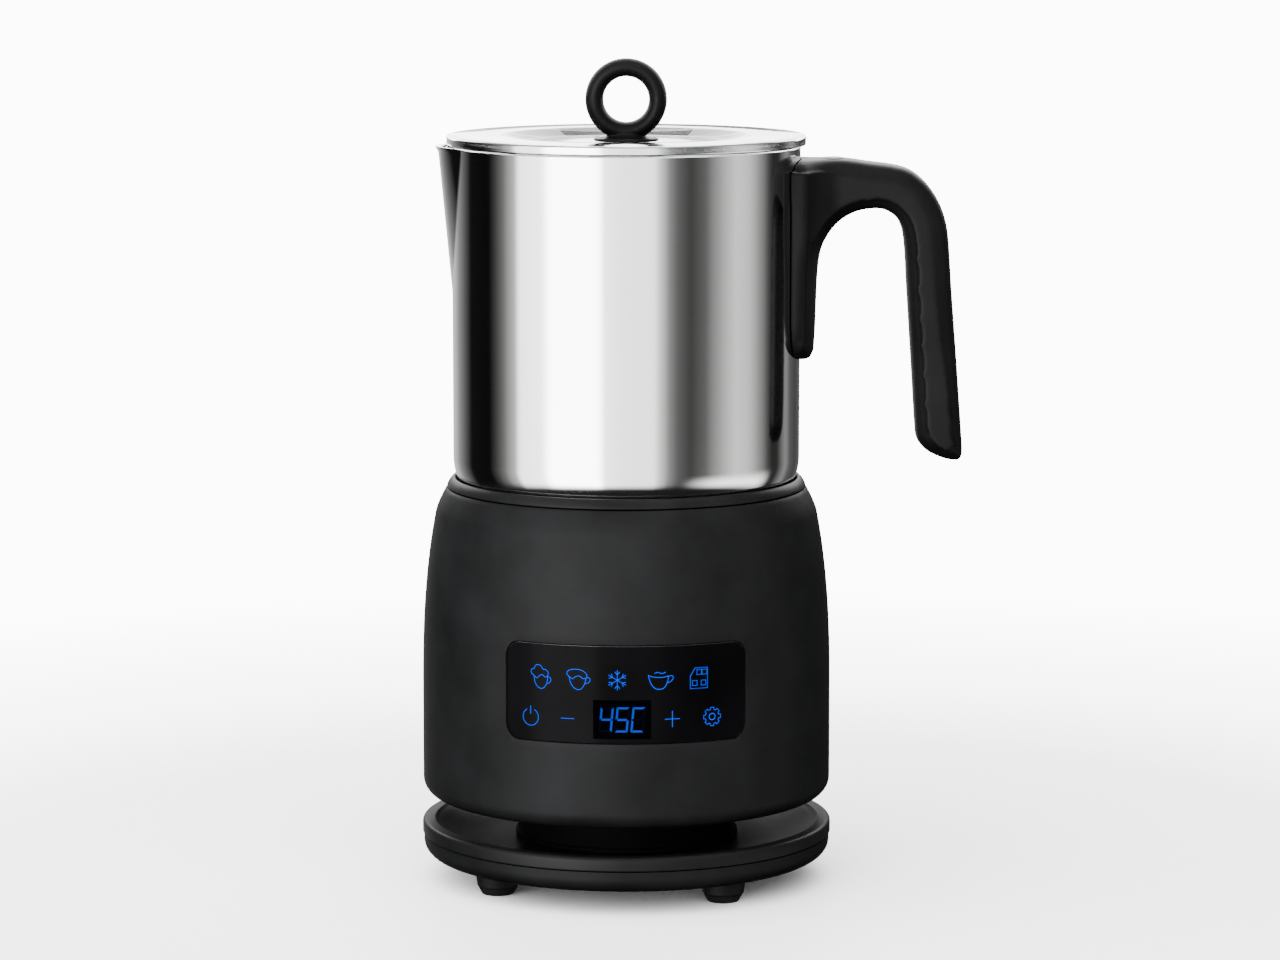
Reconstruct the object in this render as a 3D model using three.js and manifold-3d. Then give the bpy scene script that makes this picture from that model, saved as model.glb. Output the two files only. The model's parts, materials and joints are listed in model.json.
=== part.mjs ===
// Induction milk frother: a steel jug with a clear lid stands in a round heated base on a dished plinth.
// Frame: millimetres, +Z up, the jug's handle towards +X, the spout towards -X, the touch panel towards -Y.
// The pieces are drawn round the jug's axis, and the whole group is then centred on its bottom face.
import * as THREE from "three";
import { mergeVertices } from "three/addons/utils/BufferGeometryUtils.js";
import Module from "manifold-3d";

const wasm = await Module();
wasm.setup();

// ---------------------------------------------------------------- driving dimensions

const gap = 0.3; // between neighbouring pieces
const fineFacets = 40; // facets of an outer round piece
const plainFacets = 20; // facets of an inner round piece
const smallFacets = 12; // facets of pins, screws and bushes

const jug = {
  radius: 51.8,
  wall: 0.8,
  height: 107.4,
  cornerRadius: 20,
  cornerDepth: 15,
  seatDepth: 8.5, // how far the jug stands below the base's rim
};
const spout = {
  height: 45, // from the point of the V up to the rim
  reach: 4, // at the foot of the flared lip
  lipReach: 5.3,
  lipHeight: 1.9,
};
const foot = {
  height: 2.05,
  topRadius: 5.8,
  bottomRadius: 4.7,
  circle: 47.7,
  turn: 8.1, // degrees off the diagonals
};
const plinth = {
  bottom: 6.5,
  parting: 13.5,
  rim: 17.7,
  overhang: 0.4, // beyond the housing's radius
  wall: 2,
  edgeRadius: 4.5,
  stubRadius: 6.8,
  dishDrop: 5.2,
};
const neck = { radius: 33.5, bore: 20, height: 12.4 };
const screw = { circle: 27, radius: 1.7, headRadius: 3.4, headHeight: 1.4, grip: 18.8 };
const body = {
  height: 96,
  step: 9.5, // the housing's radius over the jug's
  wall: 3,
  lipWall: 2.2,
  floor: 2.4,
  edgeRadius: 5,
  taper: 4.1,
  taperStart: 30.5, // above the housing's bottom
  taperPower: 2.6,
  shoulder: 10.6, // below the rim, where the shoulder curve starts
  parting: 3, // below the rim, where the seat ring meets the shell
  lipStep: 2.1, // the parting line's radius over the jug's
  seatWall: 1.2,
  seatClearance: 0.4,
};
const vent = { count: 16, inner: 38, outer: 52, width: 2.4 };
const panel = {
  centre: 40.2, // above the housing's bottom
  height: 28.5,
  halfAngle: 35,
  corner: 4.5,
  thickness: 1.4,
  recess: 0.2,
  ledge: 2,
};
const display = { halfWidth: 27, height: 30, thickness: 1.6, setback: 10.5, digitHalfWidth: 9, digitHeight: 8.6 };
const coil = { inner: 16, outer: 38, height: 4.2, former: 2, formerBore: 14.5, formerRim: 1.5 };
const ferrite = { length: 20, width: 8, height: 3, count: 4 };
const motor = { radius: 17.5, length: 30.3, wall: 2, shaftRadius: 1.5, bearingRadius: 5, bearing: 1.8 };
const bracket = { radius: 32, thickness: 1.6 };
const drive = { radius: 12.5, bore: 6, height: 4, carrier: 2 };
const board = { height: 16.5, radius: 50, thickness: 1.6 }; // height above the housing's bottom
const fan = { size: 35, height: 10, offset: 33.5, bladeRadius: 15.2, hub: 6, blades: 7, bore: 16.2 };
const sensor = { circle: 42.3, radius: 1.6, flange: 2.6, flangeHeight: 1, spring: 1.7, length: 7.6 };
const gland = { radius: 3.8, height: 11.6, length: 9, bore: 2.2, standOut: 2.6 };
const pin = { radius: 2, height: 8, flange: 5 };
const bush = { wall: 0.9, height: 10.8 };
const whisk = { radius: 19, hubWall: 2.4, thickness: 1.2, level: 5.2, waves: 10, waveDepth: 1.3, ringRadius: 1.5 };
const lid = { overhang: 1.6, edge: 2.9, floor: 2, recess: 36.5, recessDepth: 2.3, skirt: 1.6, skirtDepth: 6.7 };
const seal = { thickness: 0.9, height: 2.4 };
const ring = {
  outer: 12.15,
  inner: 7,
  depth: 8.6,
  rise: 10.5, // from the lid's top face to the ring's centre
  neckRadius: 4.3,
  neckFoot: 6.7,
  flange: 9.8,
  flangeHeight: 1,
  stud: 3,
  nut: 5.8,
  nutHeight: 2.6,
};
const handle = {
  drop: 3.5, // its top below the jug's rim
  plateDepth: 59.8,
  plateHalfWidth: 19,
  plateThickness: 4.3,
  plateCorner: 12,
  armHalfWidth: 11.5,
  edge: 3,
  screwReach: 9.6, // from the jug's wall to the screw's axis
  strap: 1,
  strapHalfWidth: 12,
  strapHeight: 36,
  strapTop: 10.6, // the tab's level below the handle's top
  bore: 1.8,
  capRadius: 3.6,
};

// ---------------------------------------------------------------- levels and radii worked out from them

const bodyBottom = plinth.rim - plinth.dishDrop + gap + neck.height + gap;
const rimLevel = bodyBottom + body.height;
const partingLevel = rimLevel - body.parting;
const shoulderLevel = rimLevel - body.shoulder;
const bodyRadius = jug.radius + body.step;
const plinthRadius = bodyRadius + plinth.overhang;
const jugBottom = rimLevel - jug.seatDepth;
const jugRim = jugBottom + jug.height;
const cornerCentre = new THREE.Vector2(jug.radius - jug.cornerRadius, jugBottom + jug.cornerDepth);
const seatFloor = jugBottom - body.seatClearance;
const seatUnderside = seatFloor - body.seatWall;
const coilTop = seatUnderside - 2 * gap;
const coilBottom = coilTop - coil.height;
const formerBottom = coilBottom - gap - coil.former;
const ferriteBottom = formerBottom - gap - ferrite.height;
const bracketBottom = ferriteBottom - gap - bracket.thickness;
const motorTop = bracketBottom - gap;
const motorBottom = motorTop - motor.length;
const boardBottom = bodyBottom + board.height;
const boardTop = boardBottom + board.thickness;
const floorTop = bodyBottom + body.floor;
const panelLevel = bodyBottom + panel.centre;
const cavityFloor = jugBottom + jug.wall;
const lidTop = jugRim + gap + lid.edge;
const lidUnderside = lidTop - lid.recessDepth - lid.floor;
const handleTop = jugRim - handle.drop;
const strapInner = jug.radius + gap;
const tabLevel = handleTop - handle.strapTop;

// ---------------------------------------------------------------- solids

const point = (x, y) => new THREE.Vector2(x, y);
const radians = (degrees) => THREE.MathUtils.degToRad(degrees);

// A closed three.js geometry as a solid that can be joined and cut.
function solidOf(geometry) {
  const bare = geometry.index ? geometry.toNonIndexed() : geometry;
  bare.deleteAttribute("normal");
  bare.deleteAttribute("uv");
  const merged = mergeVertices(bare, 1e-4);
  const corners = merged.index.array;
  const faces = [];
  for (let i = 0; i < corners.length; i += 3) {
    const [a, b, c] = corners.slice(i, i + 3);
    if (a !== b && b !== c && c !== a) faces.push(a, b, c);
  }
  const vertProperties = merged.attributes.position.array;
  const triVerts = Uint32Array.from(faces);
  return new wasm.Manifold(new wasm.Mesh({ numProp: 3, vertProperties, triVerts }));
}

function geometryOf(solid) {
  const mesh = solid.getMesh();
  const geometry = new THREE.BufferGeometry();
  geometry.setAttribute("position", new THREE.BufferAttribute(Float32Array.from(mesh.vertProperties), 3));
  geometry.setIndex(new THREE.BufferAttribute(Uint32Array.from(mesh.triVerts), 1));
  geometry.computeVertexNormals();
  return geometry;
}

const join = (...solids) => solids.reduce((all, one) => all.add(one));
const cut = (solid, ...tools) => tools.reduce((left, tool) => left.subtract(tool), solid);

// The geometry of a profile of (radius, height) points turned round the Z axis. A profile that reaches the
// axis has its two axis points at its ends, and any other closes on itself.
function turnedGeometry(profile, facets) {
  const outward = THREE.ShapeUtils.area(profile) < 0 ? [...profile].reverse() : profile;
  const reachesAxis = outward[0].x === 0 && outward.at(-1).x === 0;
  const outline = reachesAxis ? outward : [...outward, outward[0]];
  return new THREE.LatheGeometry(outline, facets).rotateX(Math.PI / 2);
}

const turned = (profile, facets = fineFacets) => solidOf(turnedGeometry(profile, facets));

// A flat-ended tube of rectangular section round the Z axis.
function tube(inner, outer, low, high, facets = plainFacets) {
  return turned([point(inner, low), point(outer, low), point(outer, high), point(inner, high)], facets);
}

function rod(radius, low, high, facets = smallFacets) {
  const height = high - low;
  const geometry = new THREE.CylinderGeometry(radius, radius, height, facets);
  return solidOf(geometry.rotateX(Math.PI / 2).translate(0, 0, low + height / 2));
}

// A rod along Y at the given height.
function crossRod(radius, near, far, level, facets = smallFacets) {
  const length = far - near;
  const geometry = new THREE.CylinderGeometry(radius, radius, length, facets);
  return solidOf(geometry.translate(0, near + length / 2, level));
}

function block([x0, x1], [y0, y1], [z0, z1]) {
  const geometry = new THREE.BoxGeometry(x1 - x0, y1 - y0, z1 - z0);
  return solidOf(geometry.translate((x0 + x1) / 2, (y0 + y1) / 2, (z0 + z1) / 2));
}

// An outline drawn in X and Z, run along Y.
function slab(shape, near, far, bevel = 0, curveSegments = 6) {
  const geometry = new THREE.ExtrudeGeometry(shape, {
    depth: far - near - 2 * bevel,
    bevelEnabled: bevel > 0,
    bevelThickness: bevel,
    bevelSize: bevel * 0.7,
    bevelOffset: -bevel * 0.7,
    bevelSegments: 2,
    curveSegments,
  });
  return solidOf(geometry.rotateX(Math.PI / 2).translate(0, far - bevel, 0));
}

function arc(centre, radius, from, to, steps) {
  return Array.from({ length: steps + 1 }, (_, i) => {
    const angle = radians(from + ((to - from) * i) / steps);
    return point(centre.x + radius * Math.cos(angle), centre.y + radius * Math.sin(angle));
  });
}

// Where an arc round the jug's bottom corner, of the given radius, crosses a level, as an angle in degrees.
const cornerAngle = (radius, level) => THREE.MathUtils.radToDeg(Math.asin((level - cornerCentre.y) / radius));

function roundedRectangle(halfWidth, low, high, corner) {
  const shape = new THREE.Shape();
  shape.moveTo(-halfWidth + corner, low);
  shape.lineTo(halfWidth - corner, low);
  shape.absarc(halfWidth - corner, low + corner, corner, -Math.PI / 2, 0);
  shape.lineTo(halfWidth, high - corner);
  shape.absarc(halfWidth - corner, high - corner, corner, 0, Math.PI / 2);
  shape.lineTo(-halfWidth + corner, high);
  shape.absarc(-halfWidth + corner, high - corner, corner, Math.PI / 2, Math.PI);
  shape.lineTo(-halfWidth, low + corner);
  shape.absarc(-halfWidth + corner, low + corner, corner, Math.PI, 1.5 * Math.PI);
  return shape;
}

// Copies of a solid at equal angles round the axis, each put at the given radius first.
function around(count, radius, make, turn = 0) {
  return Array.from({ length: count }, (_, i) => make(i).translate([radius, 0, 0]).rotate([0, 0, turn + (360 * i) / count]));
}

// ---------------------------------------------------------------- the base

const footTurn = 45 - foot.turn;

function plinthBottom() {
  const inner = plinthRadius - plinth.wall;
  const top = plinth.parting - gap / 2;
  const floor = plinth.bottom + plinth.wall;
  const edgeCentre = point(plinthRadius - 0.2 - plinth.edgeRadius, plinth.bottom + plinth.edgeRadius);
  const tray = turned([
    point(0, plinth.bottom),
    ...arc(edgeCentre, plinth.edgeRadius, -90, 0, 4),
    point(plinthRadius - 0.1, top),
    point(inner, top),
    point(inner, floor + 1.4),
    point(inner - 1.4, floor),
    point(0, floor),
  ]);
  const stub = () => rod(plinth.stubRadius, foot.height + gap, plinth.bottom + plinth.wall / 2);
  const glandHole = crossRod(gland.radius + gap, inner - 8, plinthRadius + 8, gland.height);
  return cut(join(tray, ...around(4, foot.circle, stub, footTurn)), glandHole);
}

function footPad() {
  const geometry = new THREE.CylinderGeometry(foot.topRadius, foot.bottomRadius, foot.height, smallFacets);
  return solidOf(geometry.rotateX(Math.PI / 2).translate(0, 0, foot.height / 2));
}

function plinthTop() {
  const low = plinth.parting + gap / 2;
  const dish = plinth.rim - plinth.dishDrop;
  const inner = plinthRadius - plinth.wall;
  const disc = turned([
    point(neck.bore, dish - plinth.wall),
    point(neck.radius, dish - plinth.wall),
    point(inner - gap, low + 1.7),
    point(inner, low),
    point(plinthRadius - 0.1, low),
    point(plinthRadius, low + 1.1),
    point(plinthRadius - 0.5, plinth.rim),
    point(plinthRadius - 1.6, plinth.rim),
    point(neck.radius, dish),
    point(neck.bore, dish),
  ]);
  const glandHole = crossRod(gland.radius + gap, inner - 8, plinthRadius + 8, gland.height);
  return cut(disc, glandHole, ...screwHoles(dish - 2 * plinth.wall, dish + gap));
}

const screwHoles = (low, high) => around(3, screw.circle, () => rod(screw.radius + gap, low, high), -90);

function baseScrew() {
  const head = plinth.bottom + plinth.wall + gap;
  const shank = head + screw.headHeight;
  return join(rod(screw.headRadius, head, shank), rod(screw.radius, shank - 0.2, shank + screw.grip));
}

function neckCollar() {
  const low = plinth.rim - plinth.dishDrop + gap;
  return cut(tube(neck.bore, neck.radius, low, low + neck.height, fineFacets), ...screwHoles(low - 1, bodyBottom));
}

function cordGland() {
  const far = plinthRadius + gland.standOut;
  const near = far - gland.length;
  const collar = crossRod(gland.radius, near, far, gland.height);
  return cut(collar, crossRod(gland.bore, near - 1, far + 1, gland.height));
}

function housingFloor() {
  const disc = tube(neck.bore, bodyRadius - body.edgeRadius - gap, bodyBottom, floorTop, fineFacets);
  const slot = () =>
    block([vent.inner, vent.outer], [-vent.width / 2, vent.width / 2], [bodyBottom - 1, floorTop + 1]);
  return cut(disc, ...around(vent.count, 0, slot, 9), ...screwHoles(bodyBottom - 1, floorTop + 1));
}

// The housing's outer radius at a level between its bottom edge and its shoulder.
function sideRadius(level) {
  const start = bodyBottom + body.taperStart;
  const share = Math.max(0, (level - start) / (shoulderLevel - start));
  return bodyRadius - body.taper * share ** body.taperPower;
}

function sideLevels(low, high, steps) {
  return Array.from({ length: steps + 1 }, (_, i) => low + ((high - low) * i) / steps);
}

function housingShell() {
  const edgeCentre = point(bodyRadius - body.edgeRadius, bodyBottom + body.edgeRadius);
  const top = partingLevel - gap / 2;
  const lipRadius = jug.radius + body.lipStep;
  const shoulder = new THREE.QuadraticBezierCurve(
    point(sideRadius(shoulderLevel), shoulderLevel),
    point(lipRadius + 2.9, shoulderLevel + 2.2),
    point(lipRadius, top),
  );
  const start = bodyBottom + body.taperStart;
  const side = sideLevels(start, shoulderLevel, 5).map((level) => point(sideRadius(level), level));
  const seatTop = cornerRadiusAt(jug.cornerRadius + body.seatClearance + body.seatWall, top);
  const innerLevels = sideLevels(start, shoulderLevel - 2, 2).reverse();
  const shell = turned([
    point(bodyRadius - body.edgeRadius, bodyBottom),
    ...arc(edgeCentre, body.edgeRadius, -90, 0, 4).slice(1),
    ...side,
    ...shoulder.getPoints(4).slice(1),
    point(seatTop + gap, top),
    point(seatTop + gap, top - 1.5),
    point(lipRadius - body.lipWall + 1.2, shoulderLevel + 3),
    ...innerLevels.map((level) => point(sideRadius(level) - body.wall, level)),
    point(bodyRadius - body.wall, edgeCentre.y),
    point(bodyRadius - body.edgeRadius, floorTop),
  ]);
  const half = bodyRadius * Math.sin(radians(panel.halfAngle));
  const low = panelLevel - panel.height / 2;
  const high = panelLevel + panel.height / 2;
  const pocket = slab(roundedRectangle(half + gap, low - gap, high + gap, panel.corner + gap), -bodyRadius - 9, -9);
  const depth = panel.recess + panel.thickness + gap;
  const core = turned(
    [0, ...sideLevels(low - 3, high + 3, 4)].map((level, i) =>
      i === 0 ? point(0, low - 3) : point(sideRadius(level) - depth, level),
    ).concat(point(0, high + 3)),
  );
  const opening = roundedRectangle(half - panel.ledge, low + panel.ledge, high - panel.ledge, panel.corner / 2);
  return cut(shell, cut(pocket, core), slab(opening, -bodyRadius - 9, -9));
}

// The radius of an arc round the jug's bottom corner at a level.
const cornerRadiusAt = (radius, level) =>
  cornerCentre.x + Math.sqrt(radius ** 2 - (cornerCentre.y - level) ** 2);

function touchLens() {
  const low = panelLevel - panel.height / 2;
  const high = panelLevel + panel.height / 2;
  const levels = sideLevels(low - 2, high + 2, 4);
  const outer = levels.map((level) => point(sideRadius(level) - panel.recess, level));
  const inner = levels.map((level) => point(sideRadius(level) - panel.recess - panel.thickness, level));
  const half = bodyRadius * Math.sin(radians(panel.halfAngle));
  const outline = slab(roundedRectangle(half, low, high, panel.corner), -bodyRadius - 9, -9);
  return turned([...outer, ...inner.reverse()]).intersect(outline);
}

function seatRing() {
  const low = partingLevel + gap / 2;
  const lipRadius = jug.radius + body.lipStep - 0.15;
  const bowl = jug.cornerRadius + body.seatClearance;
  const curve = new THREE.QuadraticBezierCurve(
    point(lipRadius, low),
    point(lipRadius - 1, rimLevel - 0.9),
    point(cornerRadiusAt(bowl, rimLevel) + 0.5, rimLevel),
  );
  return turned([
    point(cornerRadiusAt(bowl, low), low),
    ...curve.getPoints(4),
    point(cornerRadiusAt(bowl, rimLevel - 0.4), rimLevel - 0.4),
    point(cornerRadiusAt(bowl, rimLevel - 1.4), rimLevel - 1.4),
  ]);
}

function jugSeat() {
  const top = partingLevel - gap / 2;
  const bowl = jug.cornerRadius + body.seatClearance;
  const back = bowl + body.seatWall;
  const dish = turned([
    point(0, seatUnderside),
    ...arc(cornerCentre, back, cornerAngle(back, seatUnderside), cornerAngle(back, top), 4),
    ...arc(cornerCentre, bowl, cornerAngle(bowl, top), cornerAngle(bowl, seatFloor), 4),
    point(0, seatFloor),
  ]);
  const hole = rod(sensor.radius + gap, seatUnderside - 1, seatFloor + 1).translate([0, sensor.circle, 0]);
  return cut(dish, hole);
}

// ---------------------------------------------------------------- heating, drive and electronics

const inductionCoil = () => tube(coil.inner, coil.outer, coilBottom, coilTop);

function coilFormer() {
  const high = formerBottom + coil.former;
  const disc = tube(coil.formerBore, coil.outer + coil.formerRim, formerBottom, high);
  const tab = block(
    [-sensor.flange - 1, sensor.flange + 1],
    [coil.outer - 1, sensor.circle + sensor.flange],
    [formerBottom, high],
  );
  const bore = rod(sensor.radius + gap, formerBottom - 1, high + 1).translate([0, sensor.circle, 0]);
  return cut(join(disc, tab), bore);
}

function ferriteBar() {
  const near = coil.inner + 1;
  const side = ferrite.width / 2;
  return block([near, near + ferrite.length], [-side, side], [ferriteBottom, ferriteBottom + ferrite.height]);
}

function motorBracket() {
  const high = bracketBottom + bracket.thickness;
  const hole = () => rod(4, bracketBottom - 1, high + 1);
  return cut(tube(motor.bearingRadius + 1, bracket.radius, bracketBottom, high), ...around(4, 24, hole, 45));
}

function motorCan() {
  const mouth = motor.bearingRadius + gap;
  const inner = motor.radius - motor.wall;
  return turned(
    [
      point(mouth, motorBottom),
      point(motor.radius, motorBottom),
      point(motor.radius, motorTop),
      point(mouth, motorTop),
      point(mouth, motorTop - motor.wall),
      point(inner, motorTop - motor.wall),
      point(inner, motorBottom + motor.wall),
      point(mouth, motorBottom + motor.wall),
    ],
    plainFacets,
  );
}

const motorBearing = (low) =>
  tube(motor.shaftRadius + gap, motor.bearingRadius, low, low + motor.bearing, smallFacets);

const motorRotor = () =>
  tube(motor.shaftRadius + gap, motor.radius - motor.wall - 2, motorBottom + 5, motorTop - 5, plainFacets);

const carrierBottom = formerBottom + 0.2;
const motorShaft = () => rod(motor.shaftRadius, motorBottom - 2, carrierBottom + drive.carrier);
const magnetCarrier = () =>
  tube(motor.shaftRadius + gap, drive.radius + 0.8, carrierBottom, carrierBottom + drive.carrier);

function driveMagnet() {
  const low = carrierBottom + drive.carrier + gap;
  return tube(drive.bore, drive.radius, low, low + drive.height);
}

// The board's front face keeps its distance from the shell, which is narrowest at the board's top.
function displayFront() {
  return display.setback - sideRadius(panelLevel + display.height / 2);
}

function displayBoard() {
  const front = displayFront();
  const low = panelLevel - display.height / 2;
  const halfWidth = Math.min(display.halfWidth, bodyRadius * Math.sin(radians(panel.halfAngle)) - 5);
  return block([-halfWidth, halfWidth], [front, front + display.thickness], [low, low + display.height]);
}

function digitModule() {
  const back = displayFront() - gap;
  const front = -bodyRadius + panel.recess + panel.thickness + 2;
  const high = display.digitHeight / 2;
  const level = panelLevel - 6.8;
  return block([-display.digitHalfWidth, display.digitHalfWidth], [front, back], [level - high, level + high]);
}

const boardRadius = Math.min(board.radius, bodyRadius - body.wall - 3);
const powerBoard = () => rod(boardRadius, boardBottom, boardTop, plainFacets);
const onBoard = boardTop + gap;

const filterCapacitor = () => rod(6.2, onBoard, onBoard + 20).translate([30, 18, 0]);
const chokeCoil = () => tube(4.5, 9.5, onBoard, onBoard + 8.5, smallFacets).translate([32, -10, 0]);

function heatSink() {
  const base = block([-40, -22], [4, 30], [onBoard, onBoard + 4]);
  const fins = [4, 10, 16, 22, 28].map((y) => block([-40, -22], [y, y + 2], [onBoard + 3, onBoard + 22]));
  return join(base, ...fins);
}

const powerTransistor = () => block([-38, -23], [-1.2, 4 - gap], [onBoard, onBoard + 16]);
const terminalBlock = () => block([-8, 12], [36, 45], [onBoard, onBoard + 11]);

const fanLow = floorTop + gap;

function fanFrame() {
  const half = fan.size / 2;
  const frame = block([-half, half], [-half, half], [fanLow, fanLow + fan.height]);
  const ring = cut(frame, rod(fan.bore, fanLow - 1, fanLow + fan.height + 1, plainFacets));
  const strut = block([-fan.bore - 0.5, fan.bore + 0.5], [-1.2, 1.2], [fanLow, fanLow + 1.5]);
  const spider = join(strut, strut.rotate([0, 0, 90]), rod(fan.hub, fanLow, fanLow + 1.5));
  return join(ring, spider).translate([0, fan.offset, 0]);
}

function fanRotor() {
  const low = fanLow + 2;
  const high = fanLow + fan.height - 0.8;
  const hub = rod(fan.hub, low, high);
  const blade = () => {
    const length = fan.bladeRadius - fan.hub + 1;
    const geometry = new THREE.BoxGeometry(length, 1, high - low - 1.2);
    geometry.rotateX(radians(32)).translate(fan.hub - 1 + length / 2, 0, (low + high) / 2);
    return solidOf(geometry);
  };
  return join(hub, ...around(fan.blades, 0, blade)).translate([0, fan.offset, 0]);
}

// ---------------------------------------------------------------- temperature sensor, sprung against the jug

const sensorTop = jugBottom - gap;
const springLow = formerBottom + coil.former + gap;

function sensorButton() {
  const flangeLow = springLow + sensor.spring + gap;
  return join(
    rod(sensor.radius, sensorTop - sensor.length, sensorTop),
    rod(sensor.flange, flangeLow, flangeLow + sensor.flangeHeight),
  );
}

const sensorSpring = () =>
  tube(sensor.radius + gap, sensor.flange, springLow, springLow + sensor.spring, smallFacets);

// ---------------------------------------------------------------- the jug and its whisk

// Moves the points near -X outward, so that two flat cheeks meet in a V that widens towards the rim.
function pressSpout(geometry) {
  const position = geometry.attributes.position;
  const start = jugRim - spout.height;
  const lip = jugRim - spout.lipHeight;
  for (let i = 0; i < position.count; i += 1) {
    const x = position.getX(i);
    const y = position.getY(i);
    const z = position.getZ(i);
    const radius = Math.hypot(x, y);
    if (z <= start || radius < jug.radius - jug.wall - 1) continue;
    const cheek = spout.reach * Math.min(1, (z - start) / (lip - start));
    const flare = (spout.lipReach - spout.reach) * Math.max(0, (z - lip) / spout.lipHeight);
    const open = Math.acos(radius / (radius + cheek + flare));
    const turn = Math.abs(Math.atan2(y, -x));
    if (turn >= open) continue;
    const scale = 1 / Math.cos(open - turn);
    position.setXY(i, x * scale, y * scale);
  }
  return geometry;
}

function jugWall() {
  const inner = jug.cornerRadius - jug.wall;
  const inside = jug.radius - jug.wall;
  const start = jugRim - spout.height;
  const lip = jugRim - spout.lipHeight;
  const rows = [start, lip, jugRim];
  return solidOf(
    pressSpout(
      turnedGeometry(
        [
          point(0, jugBottom),
          ...arc(cornerCentre, jug.cornerRadius, cornerAngle(jug.cornerRadius, jugBottom), 0, 5),
          ...rows.map((level) => point(jug.radius, level)),
          ...[...rows].reverse().map((level) => point(inside, level)),
          ...arc(cornerCentre, inner, 0, cornerAngle(inner, cavityFloor), 5),
          point(0, cavityFloor),
        ],
        fineFacets,
      ),
    ),
  );
}

const pinLow = cavityFloor + gap;
const whiskPin = () =>
  join(rod(pin.flange, pinLow, pinLow + 0.8), rod(pin.radius, pinLow, pinLow + pin.height));

const bushLow = pinLow + 0.8 + gap;
const bushOuter = pin.radius + gap + bush.wall;

function whiskBush() {
  const high = bushLow + bush.height;
  return turned(
    [
      point(0, high - 1.5),
      point(pin.radius + gap, high - 1.5),
      point(pin.radius + gap, bushLow),
      point(bushOuter, bushLow),
      point(bushOuter, high),
      point(0, high),
    ],
    smallFacets,
  );
}

const whiskLevel = bushLow + whisk.level;

// A wavy disc on a hub that turns freely on the bush.
function whiskDisc() {
  const outline = new THREE.Shape();
  const steps = 6 * whisk.waves;
  for (let i = 0; i < steps; i += 1) {
    const angle = (2 * Math.PI * i) / steps;
    const radius = whisk.radius - whisk.waveDepth * (1 - Math.cos(whisk.waves * angle)) * 0.5;
    const x = radius * Math.cos(angle);
    const y = radius * Math.sin(angle);
    if (i === 0) outline.moveTo(x, y);
    else outline.lineTo(x, y);
  }
  const geometry = new THREE.ExtrudeGeometry(outline, { depth: whisk.thickness, bevelEnabled: false });
  const disc = solidOf(geometry.translate(0, 0, whiskLevel));
  const hub = rod(bushOuter + gap + whisk.hubWall, bushLow + 0.4, whiskLevel + 3);
  return cut(join(disc, hub), rod(bushOuter + gap, bushLow - 1, whiskLevel + 9));
}

const magnetInner = bushOuter + 2 * gap + whisk.hubWall;
const whiskMagnet = () =>
  tube(magnetInner, magnetInner + 6, bushLow + 0.4, whiskLevel - gap);

function frothRing() {
  const centre = whiskLevel + whisk.thickness + gap + whisk.ringRadius;
  const radius = whisk.radius - whisk.waveDepth - whisk.ringRadius - 0.5;
  const geometry = new THREE.TorusGeometry(radius, whisk.ringRadius, 8, plainFacets);
  return solidOf(geometry.translate(0, 0, centre));
}

// ---------------------------------------------------------------- the jug's handle

// A point of the handle's side outline, from the jug's wall and the handle's top.
const grip = (out, down) => point(jug.radius + out, handleTop - down);

// The arm runs out from the wall, turns down round the outer corner and hangs free as the grip.
function armOutline() {
  const shape = new THREE.Shape();
  const start = grip(0.5, 0);
  shape.moveTo(start.x, start.y);
  shape.splineThru([grip(12.2, 0.3), grip(20, 1.4), grip(29.8, 2.7), grip(35, 5), grip(39.6, 10), grip(42.4, 15.6)]);
  shape.splineThru([grip(43.6, 21.9), grip(45, 39.7), grip(47, 64), grip(48.6, 84)]);
  const end = grip(44.2, 90);
  const tip = grip(49.6, 91);
  shape.quadraticCurveTo(tip.x, tip.y, end.x, end.y);
  const sole = grip(39.6, 88.2);
  shape.lineTo(sole.x, sole.y);
  const heel = grip(34.7, 81);
  const heelCorner = grip(35.3, 86.6);
  shape.quadraticCurveTo(heelCorner.x, heelCorner.y, heel.x, heel.y);
  shape.splineThru([grip(33.4, 60), grip(31.9, 39.7), grip(30.5, 21.8), grip(28.4, 16.8), grip(23, 14.9)]);
  shape.splineThru([grip(17.5, 15.4), grip(13.2, 17.3), grip(8.2, 21.8), grip(5.7, 27)]);
  const foot = grip(0.5, 27);
  shape.lineTo(foot.x, foot.y);
  return shape;
}

function handleGrip() {
  const plateOuter = jug.radius + gap + handle.plateThickness;
  const low = handleTop - handle.plateDepth;
  const half = handle.plateHalfWidth;
  const face = roundedRectangle(half, low, handleTop, Math.min(handle.plateCorner, half - 1));
  const outline = slab(face, plateOuter - 30, plateOuter + 5).rotate([0, 0, -90]);
  const plate = tube(strapInner, plateOuter, low - 1, handleTop + 1, fineFacets).intersect(outline);
  const arm = slab(armOutline(), -handle.armHalfWidth, handle.armHalfWidth, handle.edge, 2);
  const wall = turned(
    [point(0, low - 9), point(strapInner, low - 9), point(strapInner, jugRim + 9), point(0, jugRim + 9)],
  );
  const axis = [jug.radius + handle.screwReach, 0, 0];
  const bore = rod(handle.bore, tabLevel - 5.3, handleTop + 5).translate(axis);
  const counterbore = rod(handle.capRadius + gap, tabLevel + 6, handleTop + 5).translate(axis);
  return cut(join(plate, arm), wall, bracketSolid(gap), bore, counterbore);
}

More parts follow.
